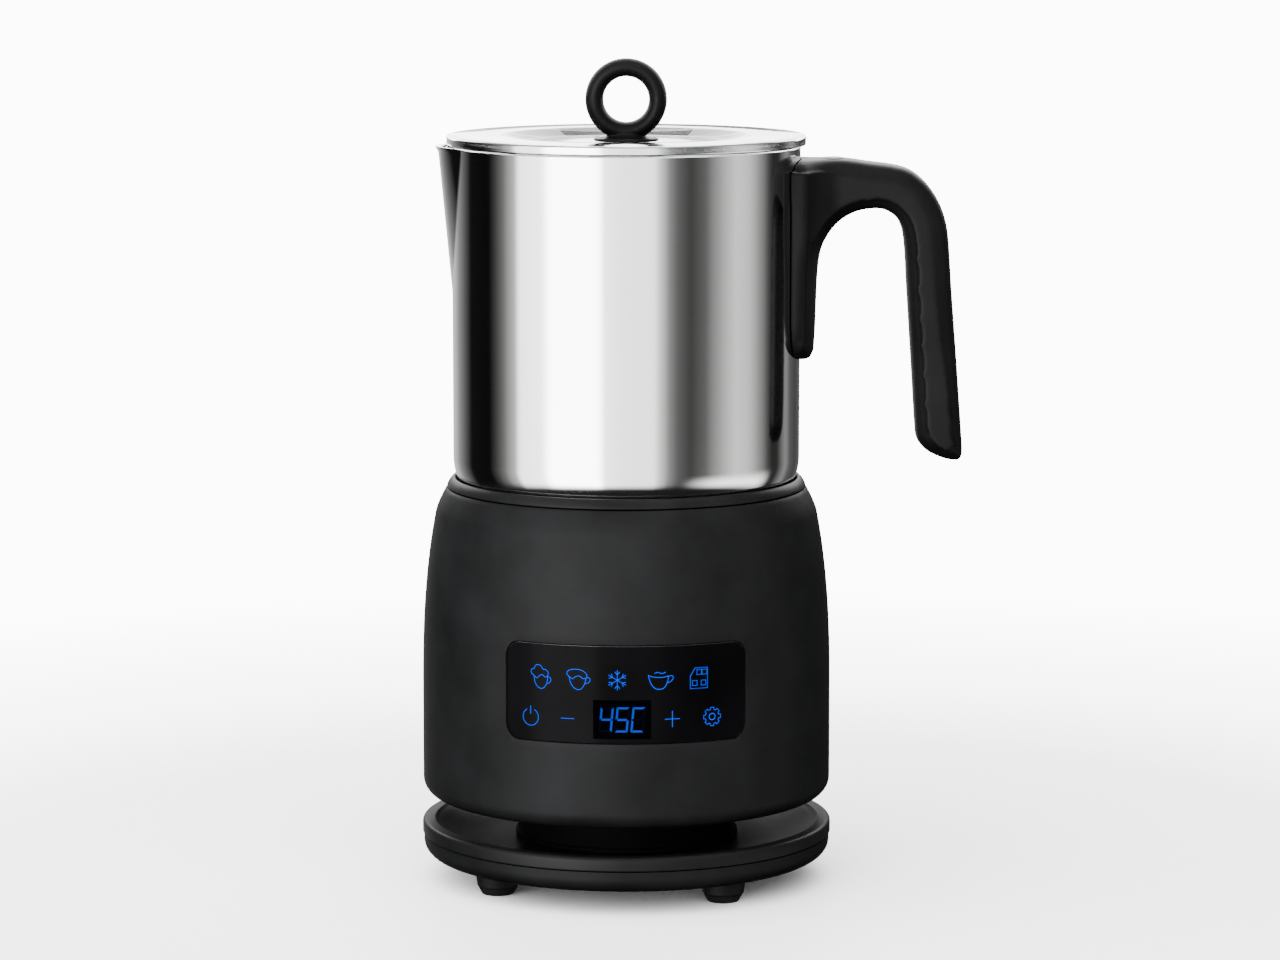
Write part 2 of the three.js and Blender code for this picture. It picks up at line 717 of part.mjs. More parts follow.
// The strap spot-welded to the jug's wall, with a tab that the screw pulls the handle down on. Grown by the
// clearance it is the pocket in the handle.
function bracketSolid(grow) {
  const half = handle.strapHalfWidth + grow;
  const low = tabLevel - handle.strapHeight - grow;
  const high = tabLevel + handle.strap + grow;
  const outer = strapInner + handle.strap + grow;
  const sheet = tube(strapInner - grow, outer, low, high, fineFacets);
  const strap = sheet.intersect(block([0, outer + 1], [-half, half], [low - 1, high + 1]));
  const reach = jug.radius + handle.screwReach + 3.6 + grow;
  const tab = block([strapInner + 0.4, reach], [-5 - grow, 5 + grow], [tabLevel - grow, high]);
  return join(strap, tab);
}

function handleBracket() {
  const axis = [jug.radius + handle.screwReach, 0, 0];
  return cut(bracketSolid(0), rod(handle.bore, tabLevel - 2, tabLevel + 4).translate(axis));
}

function handleScrew() {
  const head = tabLevel + 6 + gap;
  const solid = join(rod(handle.bore - gap, tabLevel - 5, head + 0.5), rod(3, head, head + 1.6));
  return solid.translate([jug.radius + handle.screwReach, 0, 0]);
}

function handleCap() {
  const low = tabLevel + 6 + 2 * gap + 1.6;
  return rod(handle.capRadius, low, handleTop - 0.5).translate([jug.radius + handle.screwReach, 0, 0]);
}

// ---------------------------------------------------------------- the lid

const skirtOuter = jug.radius - jug.wall - gap - seal.thickness;
const skirtLow = lidTop - lid.edge - lid.skirtDepth;

function lidDisc() {
  const rim = jug.radius + lid.overhang;
  const recessFloor = lidTop - lid.recessDepth;
  const hole = ring.stud + gap;
  return turned([
    point(hole, lidUnderside),
    point(skirtOuter - lid.skirt, lidUnderside),
    point(skirtOuter - lid.skirt, skirtLow),
    point(skirtOuter, skirtLow),
    point(skirtOuter, lidTop - lid.edge),
    point(rim - 0.4, lidTop - lid.edge),
    point(rim, lidTop - lid.edge + 0.4),
    point(rim, lidTop - 0.6),
    point(rim - 0.6, lidTop),
    point(lid.recess + 0.6, lidTop),
    point(lid.recess, lidTop - 0.5),
    point(lid.recess - 1, recessFloor),
    point(hole, recessFloor),
  ]);
}

function lidSeal() {
  const low = skirtLow + 0.8;
  const outer = skirtOuter + seal.thickness;
  const inner = skirtOuter + gap;
  return tube(inner, outer, low, low + seal.height, fineFacets);
}

// The finger ring stands across Y on a short waisted neck, with a flange in the recess and a stud below.
function ringHandle() {
  const level = lidTop + ring.rise;
  const half = ring.depth / 2;
  const middle = (ring.outer + ring.inner) / 2;
  const section = new THREE.EllipseCurve(middle, 0, (ring.outer - ring.inner) / 2, half);
  const hoop = new THREE.LatheGeometry(section.getPoints(10).slice(0, -1).concat(section.getPoint(0)), 32);
  const finger = solidOf(hoop.translate(0, 0, level));
  const flangeLow = lidTop - lid.recessDepth + gap;
  const flangeHigh = flangeLow + ring.flangeHeight;
  const stem = turned(
    [
      point(0, lidUnderside - ring.nutHeight - gap),
      point(ring.stud, lidUnderside - ring.nutHeight - gap),
      point(ring.stud, flangeLow),
      point(ring.flange, flangeLow),
      point(ring.flange, flangeHigh - 0.4),
      point(ring.flange - 0.6, flangeHigh),
      point(ring.neckFoot, flangeHigh),
      point(ring.neckRadius, level - ring.outer + 1.5),
      point(ring.neckRadius, level - ring.outer + 2.4),
      point(0, level - ring.outer + 2.4),
    ],
    plainFacets,
  );
  return join(finger, stem);
}

const ringNut = () =>
  tube(ring.stud + gap, ring.nut, lidUnderside - gap - ring.nutHeight, lidUnderside - gap, 6 * 4);

// ---------------------------------------------------------------- finishes and the assembly

const finish = (color, roughness, metalness = 0) => ({ color, roughness, metalness });
const finishes = {
  housing: finish(0x17181a, 0.62),
  satin: finish(0x1c1d1f, 0.4),
  rubber: finish(0x1e1e1f, 0.85),
  steel: finish(0xc9ccd0, 0.16, 1),
  glass: finish(0x08090b, 0.08),
  clear: finish(0xe4e8ea, 0.08),
  silicone: finish(0xd8dcdc, 0.6),
  copper: finish(0xb8703a, 0.4, 1),
  ferrite: finish(0x2e2e30, 0.75),
  zinc: finish(0xa8abae, 0.45, 1),
  circuit: finish(0x1f5b38, 0.55),
  nylon: finish(0xd9d4c6, 0.55),
};

const part = new THREE.Group();

function addBody(pieces) {
  const group = new THREE.Group();
  for (const [name, solid, look] of pieces) {
    const mesh = new THREE.Mesh(geometryOf(solid), new THREE.MeshStandardMaterial(finishes[look]));
    mesh.name = name;
    group.add(mesh);
  }
  part.add(group);
}

// The same piece at equal angles round the axis, each copy a node of its own.
function copies(count, name, make, look, radius, turn) {
  return around(count, radius, make, turn).map((solid, i) => [`${name}_${i + 1}`, solid, look]);
}

addBody([
  ["plinth_bottom", plinthBottom(), "housing"],
  ...copies(4, "foot_pad", footPad, "rubber", foot.circle, footTurn),
  ["plinth_top", plinthTop(), "housing"],
  ...copies(3, "base_screw", baseScrew, "zinc", screw.circle, -90),
  ["neck_collar", neckCollar(), "housing"],
  ["cord_gland", cordGland(), "rubber"],
  ["housing_floor", housingFloor(), "housing"],
  ["housing_shell", housingShell(), "housing"],
  ["seat_ring", seatRing(), "housing"],
  ["jug_seat", jugSeat(), "satin"],
  ["touch_lens", touchLens(), "glass"],
  ["display_board", displayBoard(), "circuit"],
  ["digit_module", digitModule(), "nylon"],
  ["induction_coil", inductionCoil(), "copper"],
  ["coil_former", coilFormer(), "nylon"],
  ...copies(ferrite.count, "ferrite_bar", ferriteBar, "ferrite", 0, 45),
  ["motor_bracket", motorBracket(), "zinc"],
  ["motor_can", motorCan(), "zinc"],
  ["motor_bearing_lower", motorBearing(motorBottom), "steel"],
  ["motor_bearing_upper", motorBearing(motorTop - motor.bearing), "steel"],
  ["power_board", powerBoard(), "circuit"],
  ["filter_capacitor", filterCapacitor(), "ferrite"],
  ["choke_coil", chokeCoil(), "copper"],
  ["heat_sink", heatSink(), "zinc"],
  ["power_transistor", powerTransistor(), "ferrite"],
  ["terminal_block", terminalBlock(), "nylon"],
  ["fan_frame", fanFrame(), "satin"],
  ["sensor_spring", sensorSpring().translate([0, sensor.circle, 0]), "steel"],
]);
addBody([["sensor_button", sensorButton().translate([0, sensor.circle, 0]), "steel"]]);
addBody([
  ["motor_shaft", motorShaft(), "steel"],
  ["motor_rotor", motorRotor(), "copper"],
  ["magnet_carrier", magnetCarrier(), "nylon"],
  ["drive_magnet", driveMagnet(), "ferrite"],
]);
addBody([["fan_rotor", fanRotor(), "satin"]]);
addBody([
  ["jug_wall", jugWall(), "steel"],
  ["whisk_pin", whiskPin(), "steel"],
  ["handle_grip", handleGrip(), "satin"],
  ["handle_bracket", handleBracket(), "steel"],
  ["handle_screw", handleScrew(), "zinc"],
  ["handle_cap", handleCap(), "satin"],
]);
addBody([["whisk_bush", whiskBush(), "steel"]]);
addBody([
  ["whisk_disc", whiskDisc(), "satin"],
  ["whisk_magnet", whiskMagnet(), "ferrite"],
  ["froth_ring", frothRing(), "steel"],
]);
addBody([
  ["lid_disc", lidDisc(), "clear"],
  ["lid_seal", lidSeal(), "silicone"],
  ["ring_handle", ringHandle(), "satin"],
  ["ring_nut", ringNut(), "steel"],
]);

// The frame's origin is the middle of the part's bottom face.
const bounds = new THREE.Box3().setFromObject(part);
const middle = bounds.getCenter(new THREE.Vector3());
part.position.set(-middle.x, -middle.y, -bounds.min.z);

export default part;
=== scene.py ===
"""An induction milk frother: the looks of a steel jug with a clear lid on a round black heated base."""

import json
import logging
import math
from collections.abc import Callable, Iterable, Sequence
from dataclasses import dataclass, field
from enum import Enum

import bmesh
import bpy
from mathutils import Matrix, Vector


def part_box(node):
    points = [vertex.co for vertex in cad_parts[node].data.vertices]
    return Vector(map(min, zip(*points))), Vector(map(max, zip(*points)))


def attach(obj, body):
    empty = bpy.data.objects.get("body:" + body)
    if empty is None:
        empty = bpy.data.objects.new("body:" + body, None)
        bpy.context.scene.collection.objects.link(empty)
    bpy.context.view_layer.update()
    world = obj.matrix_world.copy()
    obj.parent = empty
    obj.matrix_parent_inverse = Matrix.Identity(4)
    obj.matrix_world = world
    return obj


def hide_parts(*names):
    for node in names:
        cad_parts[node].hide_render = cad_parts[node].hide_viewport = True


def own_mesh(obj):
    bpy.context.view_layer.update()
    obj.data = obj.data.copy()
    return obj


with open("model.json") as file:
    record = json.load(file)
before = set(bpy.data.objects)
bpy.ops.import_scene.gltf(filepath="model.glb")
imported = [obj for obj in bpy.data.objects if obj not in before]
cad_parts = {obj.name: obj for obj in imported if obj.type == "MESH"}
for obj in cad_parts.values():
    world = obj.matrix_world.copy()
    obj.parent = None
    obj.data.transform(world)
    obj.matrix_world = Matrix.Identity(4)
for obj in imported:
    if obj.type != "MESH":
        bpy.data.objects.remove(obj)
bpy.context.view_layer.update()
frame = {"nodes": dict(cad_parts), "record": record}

log = logging.getLogger("milk_frother")

MM = 0.001
Point = tuple[float, float]
Point3 = tuple[float, float, float]
Colour = tuple[float, float, float]

JUG_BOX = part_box("jug_seat")
AXIS_X = (JUG_BOX[0].x + JUG_BOX[1].x) / 2
AXIS_Y = (JUG_BOX[0].y + JUG_BOX[1].y) / 2


def low(node: str) -> float:
    """The level of a CAD node's lowest point, in millimetres."""
    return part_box(node)[0].z / MM


def high(node: str) -> float:
    """The level of a CAD node's highest point, in millimetres."""
    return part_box(node)[1].z / MM


# ---------------------------------------------------------------- node trees


class Links:
    """A short way to add nodes to a tree and join them."""

    def __init__(self, tree: bpy.types.NodeTree) -> None:
        """Keeps the tree that the nodes go into."""
        self.tree = tree

    def add(self, kind: str, settings: dict | None = None, **sockets: object) -> bpy.types.Node:
        """Adds one node.

        Args:
            kind: the node's type.
            settings: the node's own properties.
            sockets: values or output sockets for its inputs, by name with _ for a space.

        Returns:
            The new node.
        """
        node = self.tree.nodes.new(kind)
        for key, value in (settings or {}).items():
            setattr(node, key, value)
        for key, value in sockets.items():
            self.put(node, key.replace("_", " "), value)
        return node

    def put(self, node: bpy.types.Node, name: str | int, value: object) -> None:
        """Gives a node's input a value, or links an output socket to it."""
        target = node.inputs[name]
        if isinstance(value, bpy.types.NodeSocket):
            self.tree.links.new(value, target)
        else:
            target.default_value = value

    def maths(self, operation: str, *values: object) -> bpy.types.NodeSocket:
        """A Math node's result for up to three values."""
        node = self.tree.nodes.new("ShaderNodeMath")
        node.operation = operation
        for index, value in enumerate(values):
            self.put(node, index, value)
        return node.outputs[0]


def new_tree(name: str, kind: str, inputs: Sequence[tuple], outputs: Sequence[tuple]) -> tuple:
    """Makes a node group with named sockets.

    Args:
        name: the group's name.
        kind: the tree's type.
        inputs: (name, socket type, default) of each input.
        outputs: (name, socket type) of each output.

    Returns:
        The tree, its links helper, its input node and its output node.
    """
    tree = bpy.data.node_groups.new(name, kind)
    for label, socket_type, default in inputs:
        socket = tree.interface.new_socket(label, in_out="INPUT", socket_type=socket_type)
        if default is not None:
            socket.default_value = default
    for label, socket_type in outputs:
        tree.interface.new_socket(label, in_out="OUTPUT", socket_type=socket_type)
    links = Links(tree)
    return tree, links, links.add("NodeGroupInput"), links.add("NodeGroupOutput")


FLOAT = "NodeSocketFloat"
GEOMETRY = "NodeSocketGeometry"
HAIR_TURN = (0.4, 0.9, 0.3)
HAIR_STRETCH = (40.0, 1400.0, 90.0)
HAIR_LEVEL = 0.685
HAIR_ROUGHNESS = 0.12
CLOUD_SCALE = 45.0


def surface_grain_group() -> bpy.types.NodeTree:
    """The effect of a moulded or worn surface: fine grain, slow mottling and a few hairline scratches.

    Returns:
        A shader group that puts out a bump height, a roughness and a tint mask.
    """
    inputs = [
        ("Grain Scale", FLOAT, 3000.0),
        ("Mottle Scale", FLOAT, 60.0),
        ("Scratches", FLOAT, 0.2),
        ("Roughness", FLOAT, 0.5),
        ("Spread", FLOAT, 0.06),
    ]
    outputs = [("Height", FLOAT), ("Roughness", FLOAT), ("Mask", FLOAT)]
    tree, links, given, result = new_tree("surface_grain", "ShaderNodeTree", inputs, outputs)
    where = links.add("ShaderNodeTexCoord").outputs["Object"]
    grain = links.add("ShaderNodeTexNoise", Vector=where, Scale=given.outputs["Grain Scale"], Detail=3.0)
    mottle = links.add("ShaderNodeTexNoise", Vector=where, Scale=given.outputs["Mottle Scale"], Detail=4.0)
    stretch = links.add("ShaderNodeMapping", Vector=where, Rotation=HAIR_TURN, Scale=HAIR_STRETCH)
    hairs = links.add("ShaderNodeTexNoise", Vector=stretch.outputs[0], Scale=1.0, Detail=2.0)
    scratch = links.maths("GREATER_THAN", hairs.outputs["Fac"], HAIR_LEVEL)
    scratch = links.maths("MULTIPLY", scratch, given.outputs["Scratches"])
    height = links.maths("SUBTRACT", grain.outputs["Fac"], scratch)
    wave = links.maths("SUBTRACT", mottle.outputs["Fac"], 0.5)
    swing = links.maths("MULTIPLY_ADD", wave, given.outputs["Spread"], given.outputs["Roughness"])
    links.put(result, "Height", height)
    links.put(result, "Roughness", links.maths("MULTIPLY_ADD", scratch, HAIR_ROUGHNESS, swing))
    links.put(result, "Mask", mottle.outputs["Fac"])
    return tree


def polish_lines_group() -> bpy.types.NodeTree:
    """The effect of metal polished on a lathe: hair-fine lines round the axis and slow cloudy patches.

    Returns:
        A shader group that puts out a bump height and a roughness.
    """
    inputs = [
        ("Line Scale", FLOAT, 5000.0),
        ("Around Scale", FLOAT, 25.0),
        ("Roughness", FLOAT, 0.1),
        ("Spread", FLOAT, 0.04),
    ]
    outputs = [("Height", FLOAT), ("Roughness", FLOAT)]
    tree, links, given, result = new_tree("polish_lines", "ShaderNodeTree", inputs, outputs)
    where = links.add("ShaderNodeTexCoord").outputs["Object"]
    scale = links.add(
        "ShaderNodeCombineXYZ",
        X=given.outputs["Around Scale"],
        Y=given.outputs["Around Scale"],
        Z=given.outputs["Line Scale"],
    )
    stretched = links.add("ShaderNodeVectorMath", {"operation": "MULTIPLY"})
    links.put(stretched, 0, where)
    links.put(stretched, 1, scale.outputs[0])
    lines = links.add("ShaderNodeTexNoise", Vector=stretched.outputs[0], Scale=1.0, Detail=3.0)
    cloud = links.add("ShaderNodeTexNoise", Vector=where, Scale=CLOUD_SCALE, Detail=3.0)
    both = links.maths("ADD", lines.outputs["Fac"], cloud.outputs["Fac"])
    wave = links.maths("SUBTRACT", both, 1.0)
    links.put(result, "Height", lines.outputs["Fac"])
    links.put(
        result,
        "Roughness",
        links.maths("MULTIPLY_ADD", wave, given.outputs["Spread"], given.outputs["Roughness"]),
    )
    return tree


# ---------------------------------------------------------------- finishes


PLASTIC_BUMP = 0.5
METAL_BUMP = 0.4
CLEAR_BUMP = 0.03
SHEEN_ROUGHNESS = 0.4
DRIFT_STOPS = (0.3, 0.7)


@dataclass(frozen=True)
class Finish:
    """What every finish has: the record's slot, a colour and a roughness."""

    slot: str
    colour: Colour
    roughness: float

    def start(self, label: str) -> tuple:
        """Makes a material with its Principled shader.

        Args:
            label: the material's name.

        Returns:
            The material, its links helper and the Principled node.
        """
        material = bpy.data.materials.new(label)
        material.use_nodes = True
        material.diffuse_color = (*self.colour, 1.0)
        shader = material.node_tree.nodes["Principled BSDF"]
        shader.inputs["Base Color"].default_value = (*self.colour, 1.0)
        return material, Links(material.node_tree), shader

    @staticmethod
    def textured(
        links: Links, shader: bpy.types.Node, effect: bpy.types.Node, strength: float, depth: float
    ) -> None:
        """Feeds an effect's height and roughness to the shader.

        Args:
            links: the material's links helper.
            shader: the Principled node.
            effect: the shared effect's node.
            strength: the bump's strength.
            depth: the bump's depth in millimetres.
        """
        height = effect.outputs["Height"]
        bump = links.add("ShaderNodeBump", Strength=strength, Distance=depth * MM, Height=height)
        links.put(shader, "Roughness", effect.outputs["Roughness"])
        links.put(shader, "Normal", bump.outputs["Normal"])


@dataclass(frozen=True)
class Moulded(Finish):
    """Moulded plastic, rubber, ceramic or board: a fine grain, and a colour that drifts a little."""

    grain: float = 3000.0
    depth: float = 0.05
    spread: float = 0.08
    scratches: float = 0.15
    drift: float = 0.25
    specular: float = 0.5
    sheen: float = 0.0
    glow: float = 0.0

    def material(self, label: str, shared: "SharedEffects") -> bpy.types.Material:
        """Builds the material from the shared grain effect."""
        made, links, shader = self.start(label)
        grain = links.add("ShaderNodeGroup", {"node_tree": shared.grain})
        links.put(grain, "Grain Scale", self.grain)
        links.put(grain, "Scratches", self.scratches)
        links.put(grain, "Roughness", self.roughness)
        links.put(grain, "Spread", self.spread)
        ramp = links.add("ShaderNodeValToRGB", Fac=grain.outputs["Mask"])
        changes = (1 - self.drift, 1 + self.drift)
        for stop, place, change in zip(ramp.color_ramp.elements, DRIFT_STOPS, changes):
            stop.position = place
            stop.color = (*[c * change for c in self.colour], 1.0)
        links.put(shader, "Base Color", ramp.outputs["Color"])
        self.textured(links, shader, grain, PLASTIC_BUMP, self.depth)
        shader.inputs["Specular IOR Level"].default_value = self.specular
        shader.inputs["Sheen Weight"].default_value = self.sheen
        shader.inputs["Sheen Roughness"].default_value = SHEEN_ROUGHNESS
        if self.glow:
            links.put(shader, "Emission Color", ramp.outputs["Color"])
            shader.inputs["Emission Strength"].default_value = self.glow
        return made


@dataclass(frozen=True)
class Metal(Finish):
    """Bare metal with lathe polishing lines and cloudy roughness."""

    lines: float = 5000.0
    depth: float = 0.004
    spread: float = 0.05

    def material(self, label: str, shared: "SharedEffects") -> bpy.types.Material:
        """Builds the material from the shared polishing effect."""
        made, links, shader = self.start(label)
        polish = links.add("ShaderNodeGroup", {"node_tree": shared.polish})
        links.put(polish, "Line Scale", self.lines)
        links.put(polish, "Roughness", self.roughness)
        links.put(polish, "Spread", self.spread)
        self.textured(links, shader, polish, METAL_BUMP, self.depth)
        shader.inputs["Metallic"].default_value = 1.0
        return made


@dataclass(frozen=True)
class Clear(Finish):
    """Clear moulded plastic: transparent, with faint flow marks and handling haze."""

    index: float = 1.36
    transmission: float = 1.0
    mirror: float = 0.0
    haze_scale: float = 90.0
    scratches: float = 0.05
    spread: float = 0.05
    depth: float = 0.004

    def material(self, label: str, shared: "SharedEffects") -> bpy.types.Material:
        """Builds the material, with the shared grain as haze."""
        made, links, shader = self.start(label)
        haze = links.add("ShaderNodeGroup", {"node_tree": shared.grain})
        links.put(haze, "Grain Scale", self.haze_scale)
        links.put(haze, "Scratches", self.scratches)
        links.put(haze, "Roughness", self.roughness)
        links.put(haze, "Spread", self.spread)
        self.textured(links, shader, haze, CLEAR_BUMP, self.depth)
        shader.inputs["IOR"].default_value = self.index
        shader.inputs["Transmission Weight"].default_value = self.transmission
        shader.inputs["Metallic"].default_value = self.mirror
        return made


class Look(Enum):
    """Every finish on the frother."""

    HOUSING = Moulded("housing", (0.0043, 0.0044, 0.0046), 0.5, grain=5200.0, depth=0.03, specular=0.05)
    TRIM = Moulded("housing", (0.0043, 0.0044, 0.0046), 0.42, grain=5200.0, depth=0.02, specular=0.07)
    # A darker copy of the housing's colour, used on the neck in the gap under the housing: painted shade.
    SHADED = Moulded("housing", (0.0016, 0.0016, 0.0017), 0.6, grain=5200.0, depth=0.03, specular=0.02)
    SATIN = Moulded("satin", (0.0026, 0.0026, 0.0028), 0.5, grain=2600.0, depth=0.02, specular=0.07)
    RUBBER = Moulded(
        "rubber", (0.0036, 0.0036, 0.0036), 0.78, grain=1800.0, depth=0.12, sheen=0.02, specular=0.05
    )
    STEEL = Metal("steel", (0.72, 0.715, 0.7), 0.085)
    BRIGHT_STEEL = Metal("steel", (0.66, 0.66, 0.65), 0.2, lines=2600.0, depth=0.01)
    PANEL = Moulded(
        "panel", (0.0011, 0.0011, 0.0013), 0.16, grain=60.0, depth=0.002, spread=0.03, specular=0.012
    )
    # The chamfer round the touch panel: its high specular is its polish, and its grey colour, many times
    # lighter than the panel's, is a painted highlight along the edge.
    PANEL_EDGE = Moulded(
        "panel", (0.02, 0.02, 0.021), 0.15, grain=60.0, depth=0.002, spread=0.03, specular=1.0
    )
    WINDOW = Moulded(
        "panel", (0.0003, 0.0003, 0.0005), 0.3, grain=60.0, depth=0.001, spread=0.02, specular=0.0
    )
    UNLIT = Moulded("panel", (0.0005, 0.0006, 0.002), 0.4, grain=900.0, depth=0.001, specular=0.0)
    CLEAR = Clear("clear", (0.93, 0.95, 0.955), 0.05)
    CLEAR_RIM = Clear("clear", (0.75, 0.76, 0.765), 0.08, mirror=0.88)
    SILICONE = Moulded("silicone", (0.5, 0.52, 0.52), 0.5, grain=1500.0, depth=0.05, drift=0.06)
    COPPER = Metal("copper", (0.55, 0.22, 0.09), 0.32, lines=900.0, depth=0.03)
    FERRITE = Moulded("ferrite", (0.028, 0.028, 0.031), 0.66, grain=900.0, depth=0.12)
    ZINC = Metal("zinc", (0.5, 0.51, 0.52), 0.36, lines=1500.0, depth=0.02)
    BOARD = Moulded("circuit", (0.01, 0.085, 0.032), 0.35, grain=700.0, depth=0.05)
    NYLON = Moulded("nylon", (0.62, 0.58, 0.47), 0.48, grain=1200.0, depth=0.06, drift=0.08)
    LIT_BLUE = Moulded(
        "display", (0.0, 0.0011, 0.0124), 0.5, grain=900.0, depth=0.002, drift=0.12, specular=0.0, glow=105.0
    )
    LIT_BARS = Moulded(
        "display", (0.0, 0.0012, 0.012), 0.5, grain=900.0, depth=0.002, drift=0.12, specular=0.0, glow=58.0
    )


@dataclass
class SharedEffects:
    """The shader groups that several materials use, and the materials made from them."""

    grain: bpy.types.NodeTree = field(default_factory=surface_grain_group)
    polish: bpy.types.NodeTree = field(default_factory=polish_lines_group)
    made: dict[Look, bpy.types.Material] = field(default_factory=dict)

    def of(self, look: Look) -> bpy.types.Material:
        """The material of a look, made the first time that it is asked for."""
        if look not in self.made:
            self.made[look] = look.value.material(look.name.lower(), self)
        return self.made[look]


EFFECTS = SharedEffects()


# ---------------------------------------------------------------- meshes, in millimetres round the jug's axis


class Shape:
    """Corners in millimetres from the jug's axis, with the faces that join them."""

    def __init__(self) -> None:
        """Starts an empty mesh."""
        self.corners: list[Point3] = []
        self.faces: list[tuple[int, ...]] = []

    def add(self, corners: Iterable[Point3], faces: Iterable[Sequence[int]]) -> None:
        """Adds corners, and faces that count from the first of them."""
        start = len(self.corners)
        self.corners.extend(corners)
        self.faces.extend(tuple(start + index for index in face) for face in faces)

    def grid(
        self, rows: Sequence[Sequence[Point3]], close_rows: bool = False, close_columns: bool = False
    ) -> None:
        """Adds rows of corners as a sheet of four-sided faces.

        Args:
            rows: rows of equal length.
            close_rows: whether each row runs round on itself.
            close_columns: whether the last row joins the first.
        """
        width = len(rows[0])
        across = width if close_rows else width - 1
        along = len(rows) if close_columns else len(rows) - 1
        faces = []
        for i in range(along):
            for j in range(across):
                below, above = i * width, (i + 1) % len(rows) * width
                following = (j + 1) % width
                faces.append((below + j, below + following, above + following, above + j))
        self.add([corner for row in rows for corner in row], faces)

    def made(self, name: str, look: Look, sharp: float = 32.0) -> bpy.types.Object:
        """Makes the object, closed and facing outwards.

        Args:
            name: the piece's name.
            look: its finish.
            sharp: the angle in degrees past which an edge stays sharp.

        Returns:
            The new object, at the origin, with its place in its mesh.
        """
        mesh = bpy.data.meshes.new(name)
        placed = [(AXIS_X + x * MM, AXIS_Y + y * MM, z * MM) for x, y, z in self.corners]
        mesh.from_pydata(placed, [], self.faces)
        work = bmesh.new()
        work.from_mesh(mesh)
        bmesh.ops.remove_doubles(work, verts=work.verts, dist=1e-7)
        bmesh.ops.recalc_face_normals(work, faces=work.faces)
        work.to_mesh(mesh)
        work.free()
        item = bpy.data.objects.new(name, mesh)
        bpy.context.scene.collection.objects.link(item)
        return finished(item, look, sharp)


def finished(item: bpy.types.Object, look: Look, sharp: float = 32.0) -> bpy.types.Object:
    """Gives an object one finish and smooth shading with sharp edges past an angle."""
    item.data.materials.clear()
    item.data.materials.append(EFFECTS.of(look))
    item.data.polygons.foreach_set("material_index", [0] * len(item.data.polygons))
    item.data.shade_smooth()
    item.data.set_sharp_from_angle(angle=math.radians(sharp))
    return item


def rounded(corners: Sequence[Point3], closed: bool = True, steps: int = 5) -> list[Point]:
    """Rounds the corners of an outline.

    Args:
        corners: (x, y, radius) of each corner, with a radius of 0 for one that stays sharp.
        closed: whether the outline closes on itself.
        steps: how many faces each round corner gets.

    Returns:
        The outline's points.
    """
    points: list[Point] = []
    count = len(corners)
    for index, (x, y, radius) in enumerate(corners):
        ends = not closed and index in (0, count - 1)
        if radius <= 0 or ends:
            points.append((x, y))
            continue
        here = Vector((x, y))
        back = Vector(corners[index - 1][:2]) - here
        ahead = Vector(corners[(index + 1) % count][:2]) - here
        turn = back.angle(ahead)
        reach = min(radius / math.tan(turn / 2), 0.49 * back.length, 0.49 * ahead.length)
        start, end = here + back.normalized() * reach, here + ahead.normalized() * reach
        for step in range(steps + 1):
            share = step / steps
            bent = start.lerp(here, share).lerp(here.lerp(end, share), share)
            points.append((bent.x, bent.y))
    return points


def arc(centre: Point, radius: float, start: float, end: float, steps: int) -> list[Point]:
    """Points along an arc, with its angles in degrees."""
    angles = [math.radians(start + (end - start) * step / steps) for step in range(steps + 1)]
    return [(centre[0] + radius * math.cos(a), centre[1] + radius * math.sin(a)) for a in angles]


def bend(start: Point, control: Point, end: Point, steps: int = 8) -> list[Point]:
    """Points along a curve that leaves start and meets end towards the control point."""
    a, b, c = Vector(start), Vector(control), Vector(end)
    shares = [step / steps for step in range(steps + 1)]
    return [tuple(a.lerp(b, share).lerp(b.lerp(c, share), share)) for share in shares]


def spline(points: Sequence[Point], steps: int = 8) -> list[Point]:
    """A smooth line through points, by the Catmull-Rom rule."""
    padded = [points[0], *points, points[-1]]
    line: list[Point] = []
    for before, start, end, after in zip(padded, padded[1:], padded[2:], padded[3:]):
        for step in range(steps):
            t = step / steps
            line.append(tuple(
                s + 0.5 * t * (e - b + t * (2 * b - 5 * s + 4 * e - a + t * (3 * s - b - 3 * e + a)))
                for b, s, e, a in zip(before, start, end, after)
            ))
    return [*line, tuple(points[-1])]


def turned(
    name: str,
    look: Look,
    profile: Sequence[Point],
    segments: int = 192,
    warp: Callable[[Point3], Point3] | None = None,
    centre: Point = (0.0, 0.0),
    sharp: float = 32.0,
) -> bpy.types.Object:
    """Turns a profile of (radius, level) points round the axis.

    Args:
        name: the piece's name.
        look: its finish.
        profile: an outline that closes on itself, or that starts and ends on the axis.
        segments: faces round the axis.
        warp: moves each corner after the turning.
        centre: the axis of turning, from the jug's axis.
        sharp: the angle past which an edge stays sharp.

    Returns:
        The new object.
    """
    on_axis = profile[0][0] < 1e-9 and profile[-1][0] < 1e-9
    ring = profile[1:-1] if on_axis else profile
    move = warp or (lambda corner: corner)
    shape = Shape()
    angles = [2 * math.pi * step / segments for step in range(segments)]
    rows = [
        [move((centre[0] + r * math.cos(a), centre[1] + r * math.sin(a), z)) for a in angles] for r, z in ring
    ]
    shape.grid(rows, close_rows=True, close_columns=not on_axis)
    if on_axis:
        last = (len(ring) - 1) * segments
        poles = [(centre[0], centre[1], profile[0][1]), (centre[0], centre[1], profile[-1][1])]
        first_pole = len(shape.corners)
        shape.corners.extend(poles)
        for j in range(segments):
            following = (j + 1) % segments
            shape.faces.append((following, j, first_pole))
            shape.faces.append((last + j, last + following, first_pole + 1))
    return shape.made(name, look, sharp)


